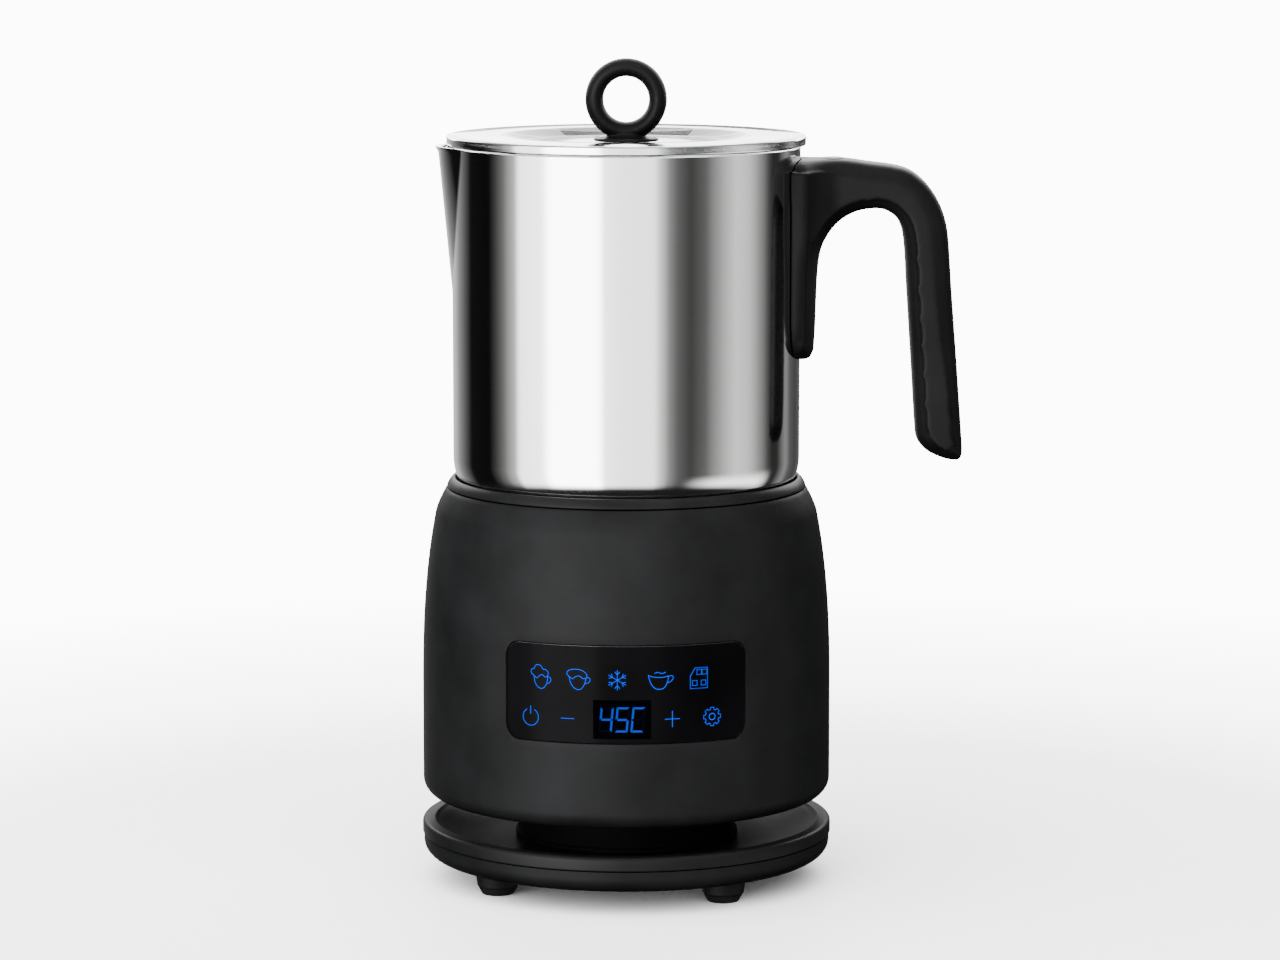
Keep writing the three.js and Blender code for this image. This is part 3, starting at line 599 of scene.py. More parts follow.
def curved_plate(
    name: str,
    look: Look,
    facing: float,
    half_width: float,
    levels: Point,
    corners: Point,
    outer: Callable[[float], float],
    thickness: float,
    columns: int = 48,
) -> bpy.types.Object:
    """A plate bent round the axis, with an outline of a rounded rectangle.

    Args:
        name: the piece's name.
        look: its finish.
        facing: the direction that its middle faces, in degrees from +X.
        half_width: half its width along the curve.
        levels: its lowest and highest level.
        corners: the radii of its lower and upper corners.
        outer: its outer radius at a level.
        thickness: how thick it is.
        columns: faces across it.

    Returns:
        The new object.
    """
    bottom, top = levels
    lower, upper = corners
    rows: list[Point] = []
    quarter = [math.pi / 2 * step / 8 for step in range(9)]
    rows += [(bottom + lower * (1 - math.cos(a)), lower * (1 - math.sin(a))) for a in quarter]
    between = [step / 10 for step in range(1, 10)]
    rows += [(bottom + lower + (top - upper - bottom - lower) * share, 0.0) for share in between]
    rows += [(top - upper * (1 - math.cos(a)), upper * (1 - math.sin(a))) for a in reversed(quarter)]
    shape = Shape()
    front, back = [], []
    for level, inset in rows:
        radius = outer(level)
        reach = half_width - inset
        angles = [math.radians(facing) + reach * (2 * i / columns - 1) / radius for i in range(columns + 1)]
        front.append([(radius * math.cos(a), radius * math.sin(a), level) for a in angles])
        inner = radius - thickness
        back.append([(inner * math.cos(a), inner * math.sin(a), level) for a in angles])
    shape.grid(front)
    shape.grid([list(reversed(row)) for row in back])
    for edge_front, edge_back in ((front[0], back[0]), (front[-1], back[-1])):
        shape.grid([edge_back, edge_front])
    for side in (0, -1):
        shape.grid([[row[side] for row in front], [row[side] for row in back]])
    return shape.made(name, look)


def outline_slab(
    name: str, look: Look, outline: Sequence[Point], half_width: float, edge: float
) -> bpy.types.Object:
    """An outline in X and Z run along Y, with its edges rounded inwards.

    Args:
        name: the piece's name.
        look: its finish.
        outline: the points in order.
        half_width: half the slab's width.
        edge: the rounding's radius.

    Returns:
        The new object.
    """
    count = len(outline)
    area = sum(a[0] * b[1] - b[0] * a[1] for a, b in zip(outline, [*outline[1:], outline[0]]))
    side = math.copysign(1.0, area)
    inward = []
    for index in range(count):
        along = Vector(outline[(index + 1) % count]) - Vector(outline[index - 1])
        inward.append(Vector((-along.y, along.x)).normalized() * side)
    angles = [math.pi / 2 * step / 6 for step in range(6, -1, -1)]
    layers = [(half_width - edge * (1 - math.sin(a)), edge * (1 - math.cos(a))) for a in angles]
    rows = [(-y, inset) for y, inset in layers] + list(reversed(layers))
    rings = [
        [(x + n.x * inset, y, z + n.y * inset) for (x, z), n in zip(outline, inward)] for y, inset in rows
    ]
    shape = Shape()
    shape.grid(rings, close_rows=True)
    shape.faces.append(tuple(range(count)))
    last = (len(rings) - 1) * count
    shape.faces.append(tuple(reversed(range(last, last + count))))
    return shape.made(name, look)


def apply_modifiers(item: bpy.types.Object) -> bpy.types.Object:
    """Makes an object's modifiers part of its mesh."""
    bpy.context.view_layer.update()
    evaluated = item.evaluated_get(bpy.context.evaluated_depsgraph_get())
    mesh = bpy.data.meshes.new_from_object(evaluated)
    item.modifiers.clear()
    mesh.name = item.name
    item.data = mesh
    return item


def bevel(item: bpy.types.Object, width: float, segments: int = 3) -> None:
    """Rounds an object's sharp edges, with the width in millimetres."""
    modifier = item.modifiers.new("edges", "BEVEL")
    modifier.width = width * MM
    modifier.segments = segments
    modifier.limit_method = "ANGLE"
    modifier.angle_limit = math.radians(50)
    apply_modifiers(item)
    item.data.shade_smooth()
    item.data.set_sharp_from_angle(angle=math.radians(32))


def cut_away(item: bpy.types.Object, *cutters: bpy.types.Object) -> bpy.types.Object:
    """Cuts shapes out of an object, and removes the cutters."""
    for cutter in cutters:
        modifier = item.modifiers.new("cut", "BOOLEAN")
        modifier.operation = "DIFFERENCE"
        modifier.solver = "EXACT"
        modifier.object = cutter
        apply_modifiers(item)
        bpy.data.objects.remove(cutter)
    return item


def melted(
    name: str, look: Look, items: Sequence[bpy.types.Object], voxel: float, smoothing: int
) -> bpy.types.Object:
    """Joins shapes that run into each other into one skin with soft inside corners.

    Args:
        name: the piece's name.
        look: its finish.
        items: the shapes, which are used up.
        voxel: the mesh size in millimetres.
        smoothing: how many times the skin is evened out.

    Returns:
        The new object.
    """
    work = bmesh.new()
    for item in items:
        work.from_mesh(item.data)
        bpy.data.objects.remove(item)
    mesh = bpy.data.meshes.new(name)
    work.to_mesh(mesh)
    work.free()
    joined = bpy.data.objects.new(name, mesh)
    bpy.context.scene.collection.objects.link(joined)
    skin = joined.modifiers.new("skin", "REMESH")
    skin.mode = "VOXEL"
    skin.voxel_size = voxel * MM
    even = joined.modifiers.new("even", "SMOOTH")
    even.iterations = smoothing
    even.factor = 0.5
    apply_modifiers(joined)
    return finished(joined, look, sharp=60.0)


# ---------------------------------------------------------------- geometry nodes


def wire_tree() -> bpy.types.NodeTree:
    """The rule for wires and drawn lines: every chain of edges becomes a round wire.

    Returns:
        A geometry tree with a radius, a number of sides and a material.
    """
    inputs = [
        ("Geometry", GEOMETRY, None),
        ("Wire Radius", FLOAT, 0.001),
        ("Sides", "NodeSocketInt", 8),
        ("Material", "NodeSocketMaterial", None),
    ]
    outputs = [("Geometry", GEOMETRY)]
    tree, links, given, result = new_tree("round_wire", "GeometryNodeTree", inputs, outputs)
    line = links.add("GeometryNodeMeshToCurve", Mesh=given.outputs["Geometry"])
    ring = links.add(
        "GeometryNodeCurvePrimitiveCircle",
        Resolution=given.outputs["Sides"],
        Radius=given.outputs["Wire Radius"],
    )
    tube = links.add("GeometryNodeCurveToMesh", Curve=line.outputs[0], Profile_Curve=ring.outputs[0])
    links.put(tube, "Fill Caps", True)
    placed = links.add("GeometryNodeRealizeInstances", Geometry=tube.outputs[0])
    finish = given.outputs["Material"]
    dressed = links.add("GeometryNodeSetMaterial", Geometry=placed.outputs[0], Material=finish)
    links.put(result, "Geometry", dressed.outputs[0])
    return tree


WIRE = wire_tree()


def grown(
    item: bpy.types.Object, tree: bpy.types.NodeTree, look: Look, inputs: dict[str, object]
) -> bpy.types.Object:
    """Runs a geometry tree on an object and keeps the result as its plain mesh.

    Args:
        item: the object that the tree reads.
        tree: the tree.
        look: the finish of the result.
        inputs: values of the tree's inputs by name.

    Returns:
        The same object with its new mesh.
    """
    modifier = item.modifiers.new("rule", "NODES")
    modifier.node_group = tree
    given = {"Material": EFFECTS.of(look), **inputs}
    for socket in tree.interface.items_tree:
        if socket.item_type == "SOCKET" and socket.in_out == "INPUT" and socket.name in given:
            modifier[socket.identifier] = given[socket.name]
    apply_modifiers(item)
    return finished(item, look, sharp=50.0)


def wires(
    name: str, look: Look, lines: Iterable[Sequence[Point3]], radius: float, sides: int = 8
) -> bpy.types.Object:
    """Round wires along lines given in millimetres from the jug's axis.

    Args:
        name: the piece's name.
        look: its finish.
        lines: each line's points, where a line whose ends meet closes on itself.
        radius: the wire's radius in millimetres.
        sides: faces round the wire.

    Returns:
        The new object.
    """
    corners, edges = [], []
    for line in lines:
        start = len(corners)
        closed = (Vector(line[0]) - Vector(line[-1])).length < 1e-6
        kept = line[:-1] if closed else line
        corners += [(AXIS_X + x * MM, AXIS_Y + y * MM, z * MM) for x, y, z in kept]
        edges += [(start + i, start + i + 1) for i in range(len(kept) - 1)]
        if closed:
            edges.append((start + len(kept) - 1, start))
    mesh = bpy.data.meshes.new(name)
    mesh.from_pydata(corners, edges, [])
    item = bpy.data.objects.new(name, mesh)
    bpy.context.scene.collection.objects.link(item)
    return grown(item, WIRE, look, {"Wire Radius": radius * MM, "Sides": sides})


def installed(item: bpy.types.Object, body: str, *nodes: str) -> bpy.types.Object:
    """Puts a finished piece on its body, in place of CAD nodes."""
    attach(item, body)
    if nodes:
        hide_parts(*nodes)
    log.info("%s rides on %s and stands for %s", item.name, body, ", ".join(nodes) or "nothing else")
    return item


# ---------------------------------------------------------------- the jug


@dataclass
class Jug:
    """The polished steel jug with its pressed spout."""

    radius: float = (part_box("jug_wall")[1].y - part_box("jug_wall")[0].y) / 2 / MM
    bottom: float = low("jug_wall")
    rim: float = high("jug_wall")
    wall: float = 0.8
    corner_radius: float = 20.0
    corner_depth: float = 15.0
    spout_height: float = 44.0
    spout_reach: float = 4.0
    lip_reach: float = 1.3
    lip_height: float = 2.2
    crease_turn: float = 20.4
    least_turn: float = 3.0
    blend_turn: float = 45.0
    cheek_slope: float = 0.66

    def crease(self, level: float) -> tuple[float, float]:
        """How far the spout has grown at a level, and the angle of its crease from its nose."""
        lip, start = self.rim - self.lip_height, self.rim - self.spout_height
        share = min(1.0, max(0.0, (level - start) / (lip - start)))
        drawn = (1 - math.cos(math.radians(self.crease_turn))) * share
        return share, max(math.radians(self.least_turn), math.acos(1 - drawn))

    def cheek(self, turn: float, share: float, crease: float) -> float:
        """The spout's radius at an angle from its nose, on a curve from the crease round the nose."""
        tip = self.radius + self.spout_reach * share
        x0, y0 = self.radius * math.cos(crease), self.radius * math.sin(crease)
        control = max(0.0, y0 - (tip - x0) / (self.cheek_slope * math.sqrt(share)))
        slope = math.tan(turn)
        early, late = 0.0, 1.0
        for _ in range(26):
            t = (early + late) / 2
            x = (1 - t) ** 2 * x0 + (1 - (1 - t) ** 2) * tip
            y = (1 - t) ** 2 * y0 + 2 * t * (1 - t) * control
            early, late = (t, late) if y > x * slope else (early, t)
        return math.hypot(x, y)

    def pressed(self, corner: Point3) -> Point3:
        """Moves a corner of the wall out into the spout, which points along -X."""
        x, y, z = corner
        around = math.hypot(x, y)
        if around < 1e-6:
            return corner
        share, crease = self.crease(z)
        turn, side = abs(math.atan2(y, -x)), math.copysign(1.0, y)
        fold, blend = math.radians(self.crease_turn + 0.7), math.radians(self.blend_turn)
        if turn < fold:
            turn *= crease / fold
        elif turn < blend:
            turn = crease + (turn - fold) * (blend - crease) / (blend - fold)
        if share > 0 and turn < crease and around > self.radius - 2 * self.wall:
            around += self.cheek(turn, share, crease) - self.radius
            flare = max(0.0, (z - self.rim + self.lip_height) / self.lip_height) ** 1.5
            around += self.lip_reach * flare * math.cos(math.pi / 2 * turn / crease) ** 2
        return (-around * math.cos(turn), side * around * math.sin(turn), z)

    def shell(self) -> bpy.types.Object:
        """Builds the wall, from the bottom up the outside and down the inside."""
        centre = (self.radius - self.corner_radius, self.bottom + self.corner_depth)
        inner_radius = self.corner_radius - self.wall
        outer_angle = math.degrees(math.asin(-self.corner_depth / self.corner_radius))
        inner_angle = math.degrees(math.asin((self.wall - self.corner_depth) / inner_radius))
        start, lip = self.rim - self.spout_height, self.rim - self.lip_height
        levels = [start + (lip - start) * step / 18 for step in range(19)]
        levels += [lip + (self.lip_height - self.wall / 2) * step / 5 for step in range(1, 6)]
        edge = self.wall / 2
        foot = arc(centre, self.corner_radius, outer_angle, 0, 20)
        profile = [(0.0, self.bottom), (30.0, self.bottom), (foot[0][0] - 1.2, self.bottom)]
        profile += foot
        profile += [(self.radius, level) for level in levels]
        profile += arc((self.radius - edge, self.rim - edge), edge, 20, 160, 5)
        profile += [(self.radius - self.wall, level) for level in reversed(levels)]
        profile += arc(centre, inner_radius, 0, inner_angle, 20)
        profile += [(0.0, self.bottom + self.wall)]
        return turned("jug_shell", Look.STEEL, profile, 360, warp=self.pressed, sharp=40)

    def pin(self) -> bpy.types.Object:
        """Builds the pin that the whisk stands on, with its welded foot."""
        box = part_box("whisk_pin")
        foot, bottom, top = (box[1].x - box[0].x) / 2 / MM, low("whisk_pin"), high("whisk_pin")
        profile = rounded(
            [(0, bottom, 0), (foot, bottom, 0.1), (foot, bottom + 0.8, 0.3), (2.0, bottom + 0.8, 0.4),
             (2.0, top, 0.7), (0, top, 0)],
            closed=False,
        )
        return turned("whisk_pin_fine", Look.BRIGHT_STEEL, profile, 48)

    def build(self) -> None:
        """Makes the jug's own pieces."""
        installed(self.shell(), "jug", "jug_wall")
        installed(self.pin(), "jug", "whisk_pin")


@dataclass
class JugHandle:
    """The black handle: a plate against the jug, an arm and a hanging grip in one moulding."""

    wall: float = Jug.radius
    top: float = high("handle_grip")
    clearance: float = 0.35
    plate_half_width: float = 19.0
    plate_depth: float = 59.8
    foot_corner: float = 13.0
    arm_half_width: float = 11.5
    edge: float = 6.5
    voxel: float = 0.55
    spread_from: float = 1.0
    spread_reach: float = 12.0
    spread_power: float = 2.2
    foot_narrowing: float = 0.9
    buried: float = 8.0
    room_depth: float = 90.0
    room_height: float = 9.0

    def outline(self) -> list[Point]:
        """The arm and the grip from the side, as points out from the wall and down from the top."""
        upper = [
            (-self.buried, 0.4), (0.6, 0.4), (12.2, 0.3), (20.0, 1.3), (27.6, 2.3), (32.4, 3.7), (36.6, 6.8),
            (39.6, 10.6), (41.7, 14.6), (43.0, 18.6), (43.9, 24.0), (45.0, 39.7), (46.6, 60.0), (48.3, 83.0),
            (48.5, 87.5),
        ]
        sole = [(48.0, 89.7), (46.2, 90.2), (42.6, 89.5), (38.4, 87.6), (35.6, 84.9), (34.7, 81.5)]
        inner = [
            (33.4, 62.0), (31.9, 39.7), (31.2, 28.0), (30.3, 21.4), (28.4, 17.6), (25.6, 15.6), (22.6, 14.9),
            (17.5, 15.5), (13.2, 17.4), (9.9, 20.2), (7.4, 23.8), (5.9, 27.5), (5.1, 33.0), (4.7, 41.0),
            (4.4, 50.0), (4.0, 57.0),
        ]
        line = spline([*upper, *sole, *inner], 5) + [(2.9, 59.3), (1.4, 59.8), (-self.buried, 59.8)]
        return [(self.wall + out, self.top - down) for out, down in line]

    def spread(self, arm: bpy.types.Object) -> bpy.types.Object:
        """Widens the arm softly towards the jug, into the plate that lies against it.

        Args:
            arm: the arm's slab, which is used up.

        Returns:
            The widened skin.
        """
        skin = melted("spread_arm", Look.SATIN, [arm], self.voxel, smoothing=1)
        most = self.plate_half_width / self.arm_half_width - 1
        for vertex in skin.data.vertices:
            out = max(self.spread_from, (vertex.co.x - AXIS_X) / MM - self.wall)
            if out < self.spread_reach:
                share = (self.spread_reach - out) / (self.spread_reach - self.spread_from)
                above_foot = vertex.co.z / MM - self.top + self.plate_depth
                near_foot = min(1.0, max(0.0, 1 - above_foot / self.foot_corner))
                wider = most * share**self.spread_power * math.sqrt(1 - self.foot_narrowing * near_foot**2)
                vertex.co.y = AXIS_Y + (vertex.co.y - AXIS_Y) * (1 + wider)
        return skin

    def grip(self) -> bpy.types.Object:
        """Builds the whole moulding as one skin."""
        arm = outline_slab("arm", Look.SATIN, self.outline(), self.arm_half_width, self.edge)
        skin = melted("jug_handle", Look.SATIN, [self.spread(arm)], self.voxel, smoothing=8)
        reach = self.wall + self.clearance - 0.05
        below, above = self.top - self.room_depth, self.top + self.room_height
        bore = [(0, below), (reach, below), (reach, above), (0, above)]
        cut_away(skin, turned("wall_room", Look.SATIN, bore, 256))
        return finished(skin, Look.SATIN, sharp=50)

    def cap(self) -> bpy.types.Object:
        """Builds the oval cap over the handle's screw, with a narrow step round it."""
        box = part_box("handle_cap")
        centre = ((box[0].x + box[1].x) / 2 / MM - AXIS_X / MM, 0.0)
        top = self.top - 0.05
        profile = rounded(
            [(0, top - 2, 0), (3.4, top - 2, 0), (3.4, top - 0.1, 0.25), (2.9, top, 0.1), (0, top + 0.12, 0)],
            closed=False,
        )

        def oval(corner: Point3) -> Point3:
            """Draws the round cap out along Y."""
            return (corner[0], corner[1] * 1.5, corner[2])

        return turned("handle_screw_cap", Look.TRIM, profile, 64, warp=oval, centre=centre)

    def build(self) -> None:
        """Makes the handle's own pieces."""
        installed(self.grip(), "jug", "handle_grip")
        installed(self.cap(), "jug", "handle_cap")


# ---------------------------------------------------------------- the lid


@dataclass
class Lid:
    """The clear lid with its ring handle, seal and nut."""

    radius: float = (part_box("lid_disc")[1].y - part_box("lid_disc")[0].y) / 2 / MM
    top: float = high("lid_disc")
    skirt_low: float = low("lid_disc")
    edge: float = 2.9
    floor: float = 2.0
    recess: float = 36.5
    recess_depth: float = 2.3
    recess_slope: float = 4.2
    recess_bend: float = 2.0
    rim_band: float = 0.3
    rim_tilt: float = 0.95
    skirt: float = 1.6
    skirt_radius: float = 49.8
    stud: float = 3.0
    ring_outer: float = 12.15
    ring_inner: float = 6.75
    ring_depth: float = 8.8

    def disc(self) -> bpy.types.Object:
        """Builds the clear disc: a flat rim, a round recess and a skirt that plugs the jug."""
        under = self.top - self.recess_depth - self.floor
        seat = self.top - self.edge
        hole = self.stud + 0.3
        profile = rounded([
            (hole, under, 0.2),
            (self.skirt_radius - self.skirt, under, 0.9),
            (self.skirt_radius - self.skirt, self.skirt_low, 0.4),
            (self.skirt_radius, self.skirt_low, 0.4),
            (self.skirt_radius, seat, 0.3),
            (self.radius, seat, 0.6),
            (self.radius, self.top, 0.9),
            (self.recess + 0.3, self.top, self.recess_bend),
            (self.recess - self.recess_slope, self.top - self.recess_depth, self.recess_bend),
            (hole, self.top - self.recess_depth, 0.2),
        ])
        lid = turned("clear_lid", Look.CLEAR, profile, 256)
        lid.data.materials.append(EFFECTS.of(Look.CLEAR_RIM))
        for face in lid.data.polygons:
            out = math.hypot(face.center.x - AXIS_X, face.center.y - AXIS_Y) / MM
            if out > self.radius - self.rim_band and abs(face.normal.z) < self.rim_tilt:
                face.material_index = 1
        return lid

    def seal(self) -> bpy.types.Object:
        """Builds the silicone ring on the skirt, with two lips."""
        bottom, top = low("lid_seal"), high("lid_seal")
        inner = self.skirt_radius + 0.25
        middle = (bottom + top) / 2
        profile = rounded([
            (inner, bottom, 0.1),
            (inner + 0.55, bottom, 0.2),
            (inner + 0.62, bottom + 0.5, 0.25),
            (inner + 0.3, middle, 0.25),
            (inner + 0.62, top - 0.5, 0.25),
            (inner + 0.55, top, 0.2),
            (inner, top, 0.1),
        ])
        return turned("lid_lip_seal", Look.SILICONE, profile, 192)

    def ring(self) -> bpy.types.Object:
        """Builds the ring, its neck, its flange and its stud as one moulding."""
        level = high("ring_handle") - self.ring_outer
        middle = (self.ring_outer + self.ring_inner) / 2
        thick, half = (self.ring_outer - self.ring_inner) / 2, self.ring_depth / 2
        hoop = Shape()
        rows = []
        for i in range(96):
            turn = 2 * math.pi * i / 96
            row = []
            for j in range(32):
                around = 2 * math.pi * j / 32
                radius = middle + thick * math.cos(around)
                height = level + radius * math.sin(turn)
                row.append((radius * math.cos(turn), half * math.sin(around), height))
            rows.append(row)
        hoop.grid(rows, close_rows=True, close_columns=True)
        flange = low("lid_disc") + (self.top - self.recess_depth + 0.3 - self.skirt_low)
        neck_top = level - self.ring_outer + 2.2
        stem = turned(
            "stem",
            Look.SATIN,
            [(0, low("ring_handle")), (self.stud, low("ring_handle")), (self.stud, flange)]
            + rounded([(9.7, flange, 0.3), (9.7, flange + 1.0, 0.45), (6.9, flange + 1.0, 0.5)])
            + [(6.0, flange + 1.35), (5.1, flange + 1.8), (4.5, flange + 2.4)]
            + [(4.4, neck_top), (0, neck_top)],
            96,
        )
        return melted("lid_ring", Look.SATIN, [hoop.made("hoop", Look.SATIN), stem], 0.27, smoothing=2)

    def nut(self) -> bpy.types.Object:
        """Builds the six-sided nut under the lid, with its washer."""
        bottom, top = low("ring_nut"), high("ring_nut")
        outer = 5.8
        return turned(
            "ring_lock_nut",
            Look.BRIGHT_STEEL,
            rounded([(3.3, bottom, 0.2), (outer - 0.7, bottom, 0.3), (outer, bottom + 0.6, 0.2),
                     (outer, top - 0.6, 0.1), (outer, top, 0.1), (3.3, top, 0.2)]),
            96,
            warp=lambda corner: self.hexagonal(corner, outer, top - 0.7),
        )

    @staticmethod
    def hexagonal(corner: Point3, outer: float, flange: float) -> Point3:
        """Presses six flats into a round nut, below its washer face."""
        x, y, z = corner
        around = math.hypot(x, y)
        if around < outer - 1.5 or z > flange:
            return corner
        turn = math.atan2(y, x) % (math.pi / 3) - math.pi / 6
        limit = (outer - 0.75) / math.cos(turn)
        scale = min(1.0, limit / around)
        return (x * scale, y * scale, z)

    def build(self) -> None:
        """Makes the lid's pieces."""
        installed(self.disc(), "lid", "lid_disc")
        installed(self.seal(), "lid", "lid_seal")
        installed(self.ring(), "lid", "ring_handle")
        installed(self.nut(), "lid", "ring_nut")


# ---------------------------------------------------------------- the heated base


@dataclass
class Housing:
    """The round body: a matt shell with a soft shoulder, a trim ring at its lip and the dished jug seat."""

    bottom: float = low("housing_shell")
    rim: float = high("seat_ring")
    parting: float = high("housing_shell")
    radius: float = (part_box("housing_shell")[1].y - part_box("housing_shell")[0].y) / 2 / MM
    edge: float = 5.0
    wall: float = 3.0
    taper: float = 4.1
    taper_start: float = 30.5
    taper_power: float = 2.6
    shoulder: float = 10.6
    lip_radius: float = Jug.radius + 2.1
    seat_clearance: float = 0.4
    panel_half_width: float = 37.0
    panel_levels: Point = (low("touch_lens"), high("touch_lens"))
    panel_corner: float = 4.6
    recess: float = 0.2

    def side(self, level: float) -> float:
        """The shell's outer radius at a level below its shoulder."""
        start, end = self.bottom + self.taper_start, self.rim - self.shoulder
        share = max(0.0, (level - start) / (end - start))
        return self.radius - self.taper * share**self.taper_power

    def bowl(self, radius: float, level: float) -> float:
        """The radius at a level of a bowl of the jug's rounding, with the given corner radius."""
        centre = (Jug.radius - Jug.corner_radius, Jug.bottom + Jug.corner_depth)
        return centre[0] + math.sqrt(radius**2 - (centre[1] - level) ** 2)

    def shell(self) -> bpy.types.Object:
        """Builds the outer shell with the shallow pocket of the touch panel."""
        shoulder = self.rim - self.shoulder
        start = self.bottom + self.edge
        levels = [start + (shoulder - start) * step / 26 for step in range(27)]
        curve = bend((self.side(shoulder), shoulder), (self.lip_radius + 2.9, shoulder + 2.2),
                     (self.lip_radius, self.parting), 10)
        inner = self.lip_radius - 2.4
        profile = [(self.radius - self.edge, self.bottom)]
        profile += arc((self.radius - self.edge, start), self.edge, -90, 0, 10)[1:-1]
        profile += [(self.side(level), level) for level in levels]
        profile += curve[1:-1]
        profile += [(self.lip_radius + 0.1, self.parting - 0.3), (self.lip_radius - 0.25, self.parting)]
        profile += [(inner, self.parting), (inner, shoulder), (self.side(shoulder) - self.wall, shoulder - 4)]
        profile += [(self.radius - self.wall, start), (self.radius - self.edge, self.bottom + 3)]
        body = turned("housing_skin", Look.HOUSING, profile, 288, sharp=40)
        pocket = self.plate("pocket", Look.HOUSING, gap=0.28, out=4.0, thickness=5.9)
        cut_away(body, pocket)
        bevel(body, 0.28, segments=2)
        return body

    def plate(self, name: str, look: Look, gap: float, out: float, thickness: float) -> bpy.types.Object:
        """A plate of the touch panel's outline, grown by a gap and stood out from the side by out."""
        bottom, top = self.panel_levels
        face = self.side((bottom + top) / 2)
        return curved_plate(
            name,
            look,
            facing=-90,
            half_width=(self.panel_half_width + gap) * (face + out) / face,
            levels=(bottom - gap, top + gap),
            corners=(self.panel_corner + gap, self.panel_corner + gap),
            outer=lambda level: self.side(level) + out,
            thickness=thickness,
            columns=72,
        )

    def ring(self) -> bpy.types.Object:
        """Builds the trim ring between the shell and the jug."""
        bottom = low("seat_ring")
        bowl = Jug.corner_radius + self.seat_clearance
        rim = self.rim
        profile = [(self.bowl(bowl, bottom), bottom)]
        profile += rounded([(self.lip_radius - 0.45, bottom, 0), (self.lip_radius - 0.15, bottom + 0.25, 0)])
        profile += bend((self.lip_radius - 0.2, bottom + 0.4), (self.lip_radius - 0.9, rim - 0.7),
                        (self.bowl(bowl, rim) + 0.75, rim), 8)
        profile += bend((self.bowl(bowl, rim) + 0.5, rim), (self.bowl(bowl, rim), rim),
                        (self.bowl(bowl, rim - 0.5), rim - 0.5), 4)
        profile += [(self.bowl(bowl, rim - 1.4), rim - 1.4)]
        return turned("seat_trim_ring", Look.TRIM, profile, 256, sharp=50)

    def seat(self) -> bpy.types.Object:
        """Builds the dished seat, with shallow grooves in its floor and a hole for the sensor."""
        bowl = Jug.corner_radius + self.seat_clearance
        back = bowl + 1.2
        floor, under, top = Jug.bottom - self.seat_clearance, low("jug_seat"), high("jug_seat")
        centre = (Jug.radius - Jug.corner_radius, Jug.bottom + Jug.corner_depth)

        def angle(radius: float, level: float) -> float:
            """Where an arc about the bowl's centre crosses a level."""
            return math.degrees(math.asin((level - centre[1]) / radius))

        grooves: list[Point] = []
        for radius in (44.0, 30.0, 18.0):
            deep = floor - 0.35
            grooves += [(radius, floor), (radius - 0.4, deep), (radius - 1.1, deep), (radius - 1.5, floor)]
        profile = [(0.0, under)]
        profile += arc(centre, back, angle(back, under), angle(back, top), 10)
        profile += arc(centre, bowl, angle(bowl, top), angle(bowl, floor), 10)
        profile += [*grooves, (0.0, floor)]
        seat = turned("jug_seat_dish", Look.SATIN, profile, 192, sharp=30)
        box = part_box("sensor_button")
        where = (0.0, (box[0].y + box[1].y) / 2 / MM - AXIS_Y / MM)
        hole = [(0, under - 1), (2.95, under - 1), (2.95, floor + 1), (0, floor + 1)]
        return cut_away(seat, turned("sensor_room", Look.SATIN, hole, 48, centre=where))

    def neck(self) -> bpy.types.Object:
        """Builds the neck that carries the housing over the ventilation gap."""
        bottom, top = low("neck_collar"), high("neck_collar")
        outer = (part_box("neck_collar")[1].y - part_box("neck_collar")[0].y) / 2 / MM
        inner, waist = 20.0, outer - 0.8
        profile = rounded([
            (inner, bottom, 0), (outer, bottom, 0.3), (outer, bottom + 1.2, 0.3), (waist, bottom + 1.6, 0.4),
            (waist, top - 1.6, 0.4), (outer, top - 1.2, 0.3), (outer, top, 0.3), (inner, top, 0),
        ])
        # The neck takes the darker shaded copy of the housing's colour: painted shade in the gap.
        return turned("neck_ring", Look.SHADED, profile, 160)

    def build(self) -> None:
        """Makes the housing's pieces."""
        installed(self.shell(), "base", "housing_shell")
        installed(self.ring(), "base", "seat_ring")
        installed(self.seat(), "base", "jug_seat")
        installed(self.neck(), "base", "neck_collar")


# ---------------------------------------------------------------- the touch panel


class Symbol(Enum):
    """The generic signs on the touch panel."""

    TALL_FROTH = "tall froth"
    FROTH = "froth"
    SNOWFLAKE = "snowflake"
    CUP = "cup"
    CHOCOLATE = "chocolate"
    POWER = "power"
    MINUS = "minus"
    PLUS = "plus"
    GEAR = "gear"


def loop(points: Iterable[Point]) -> list[Point]:
    """A line that runs back to its first point."""
    line = list(points)
    return [*line, line[0]]


def squares(middles: Iterable[Point], half: float) -> list[list[Point]]:
    """Small square outlines round their middles."""
    turns = ((-half, -half), (half, -half), (half, half), (-half, half))
    return [loop([(x + dx, y + dy) for dx, dy in turns]) for x, y in middles]


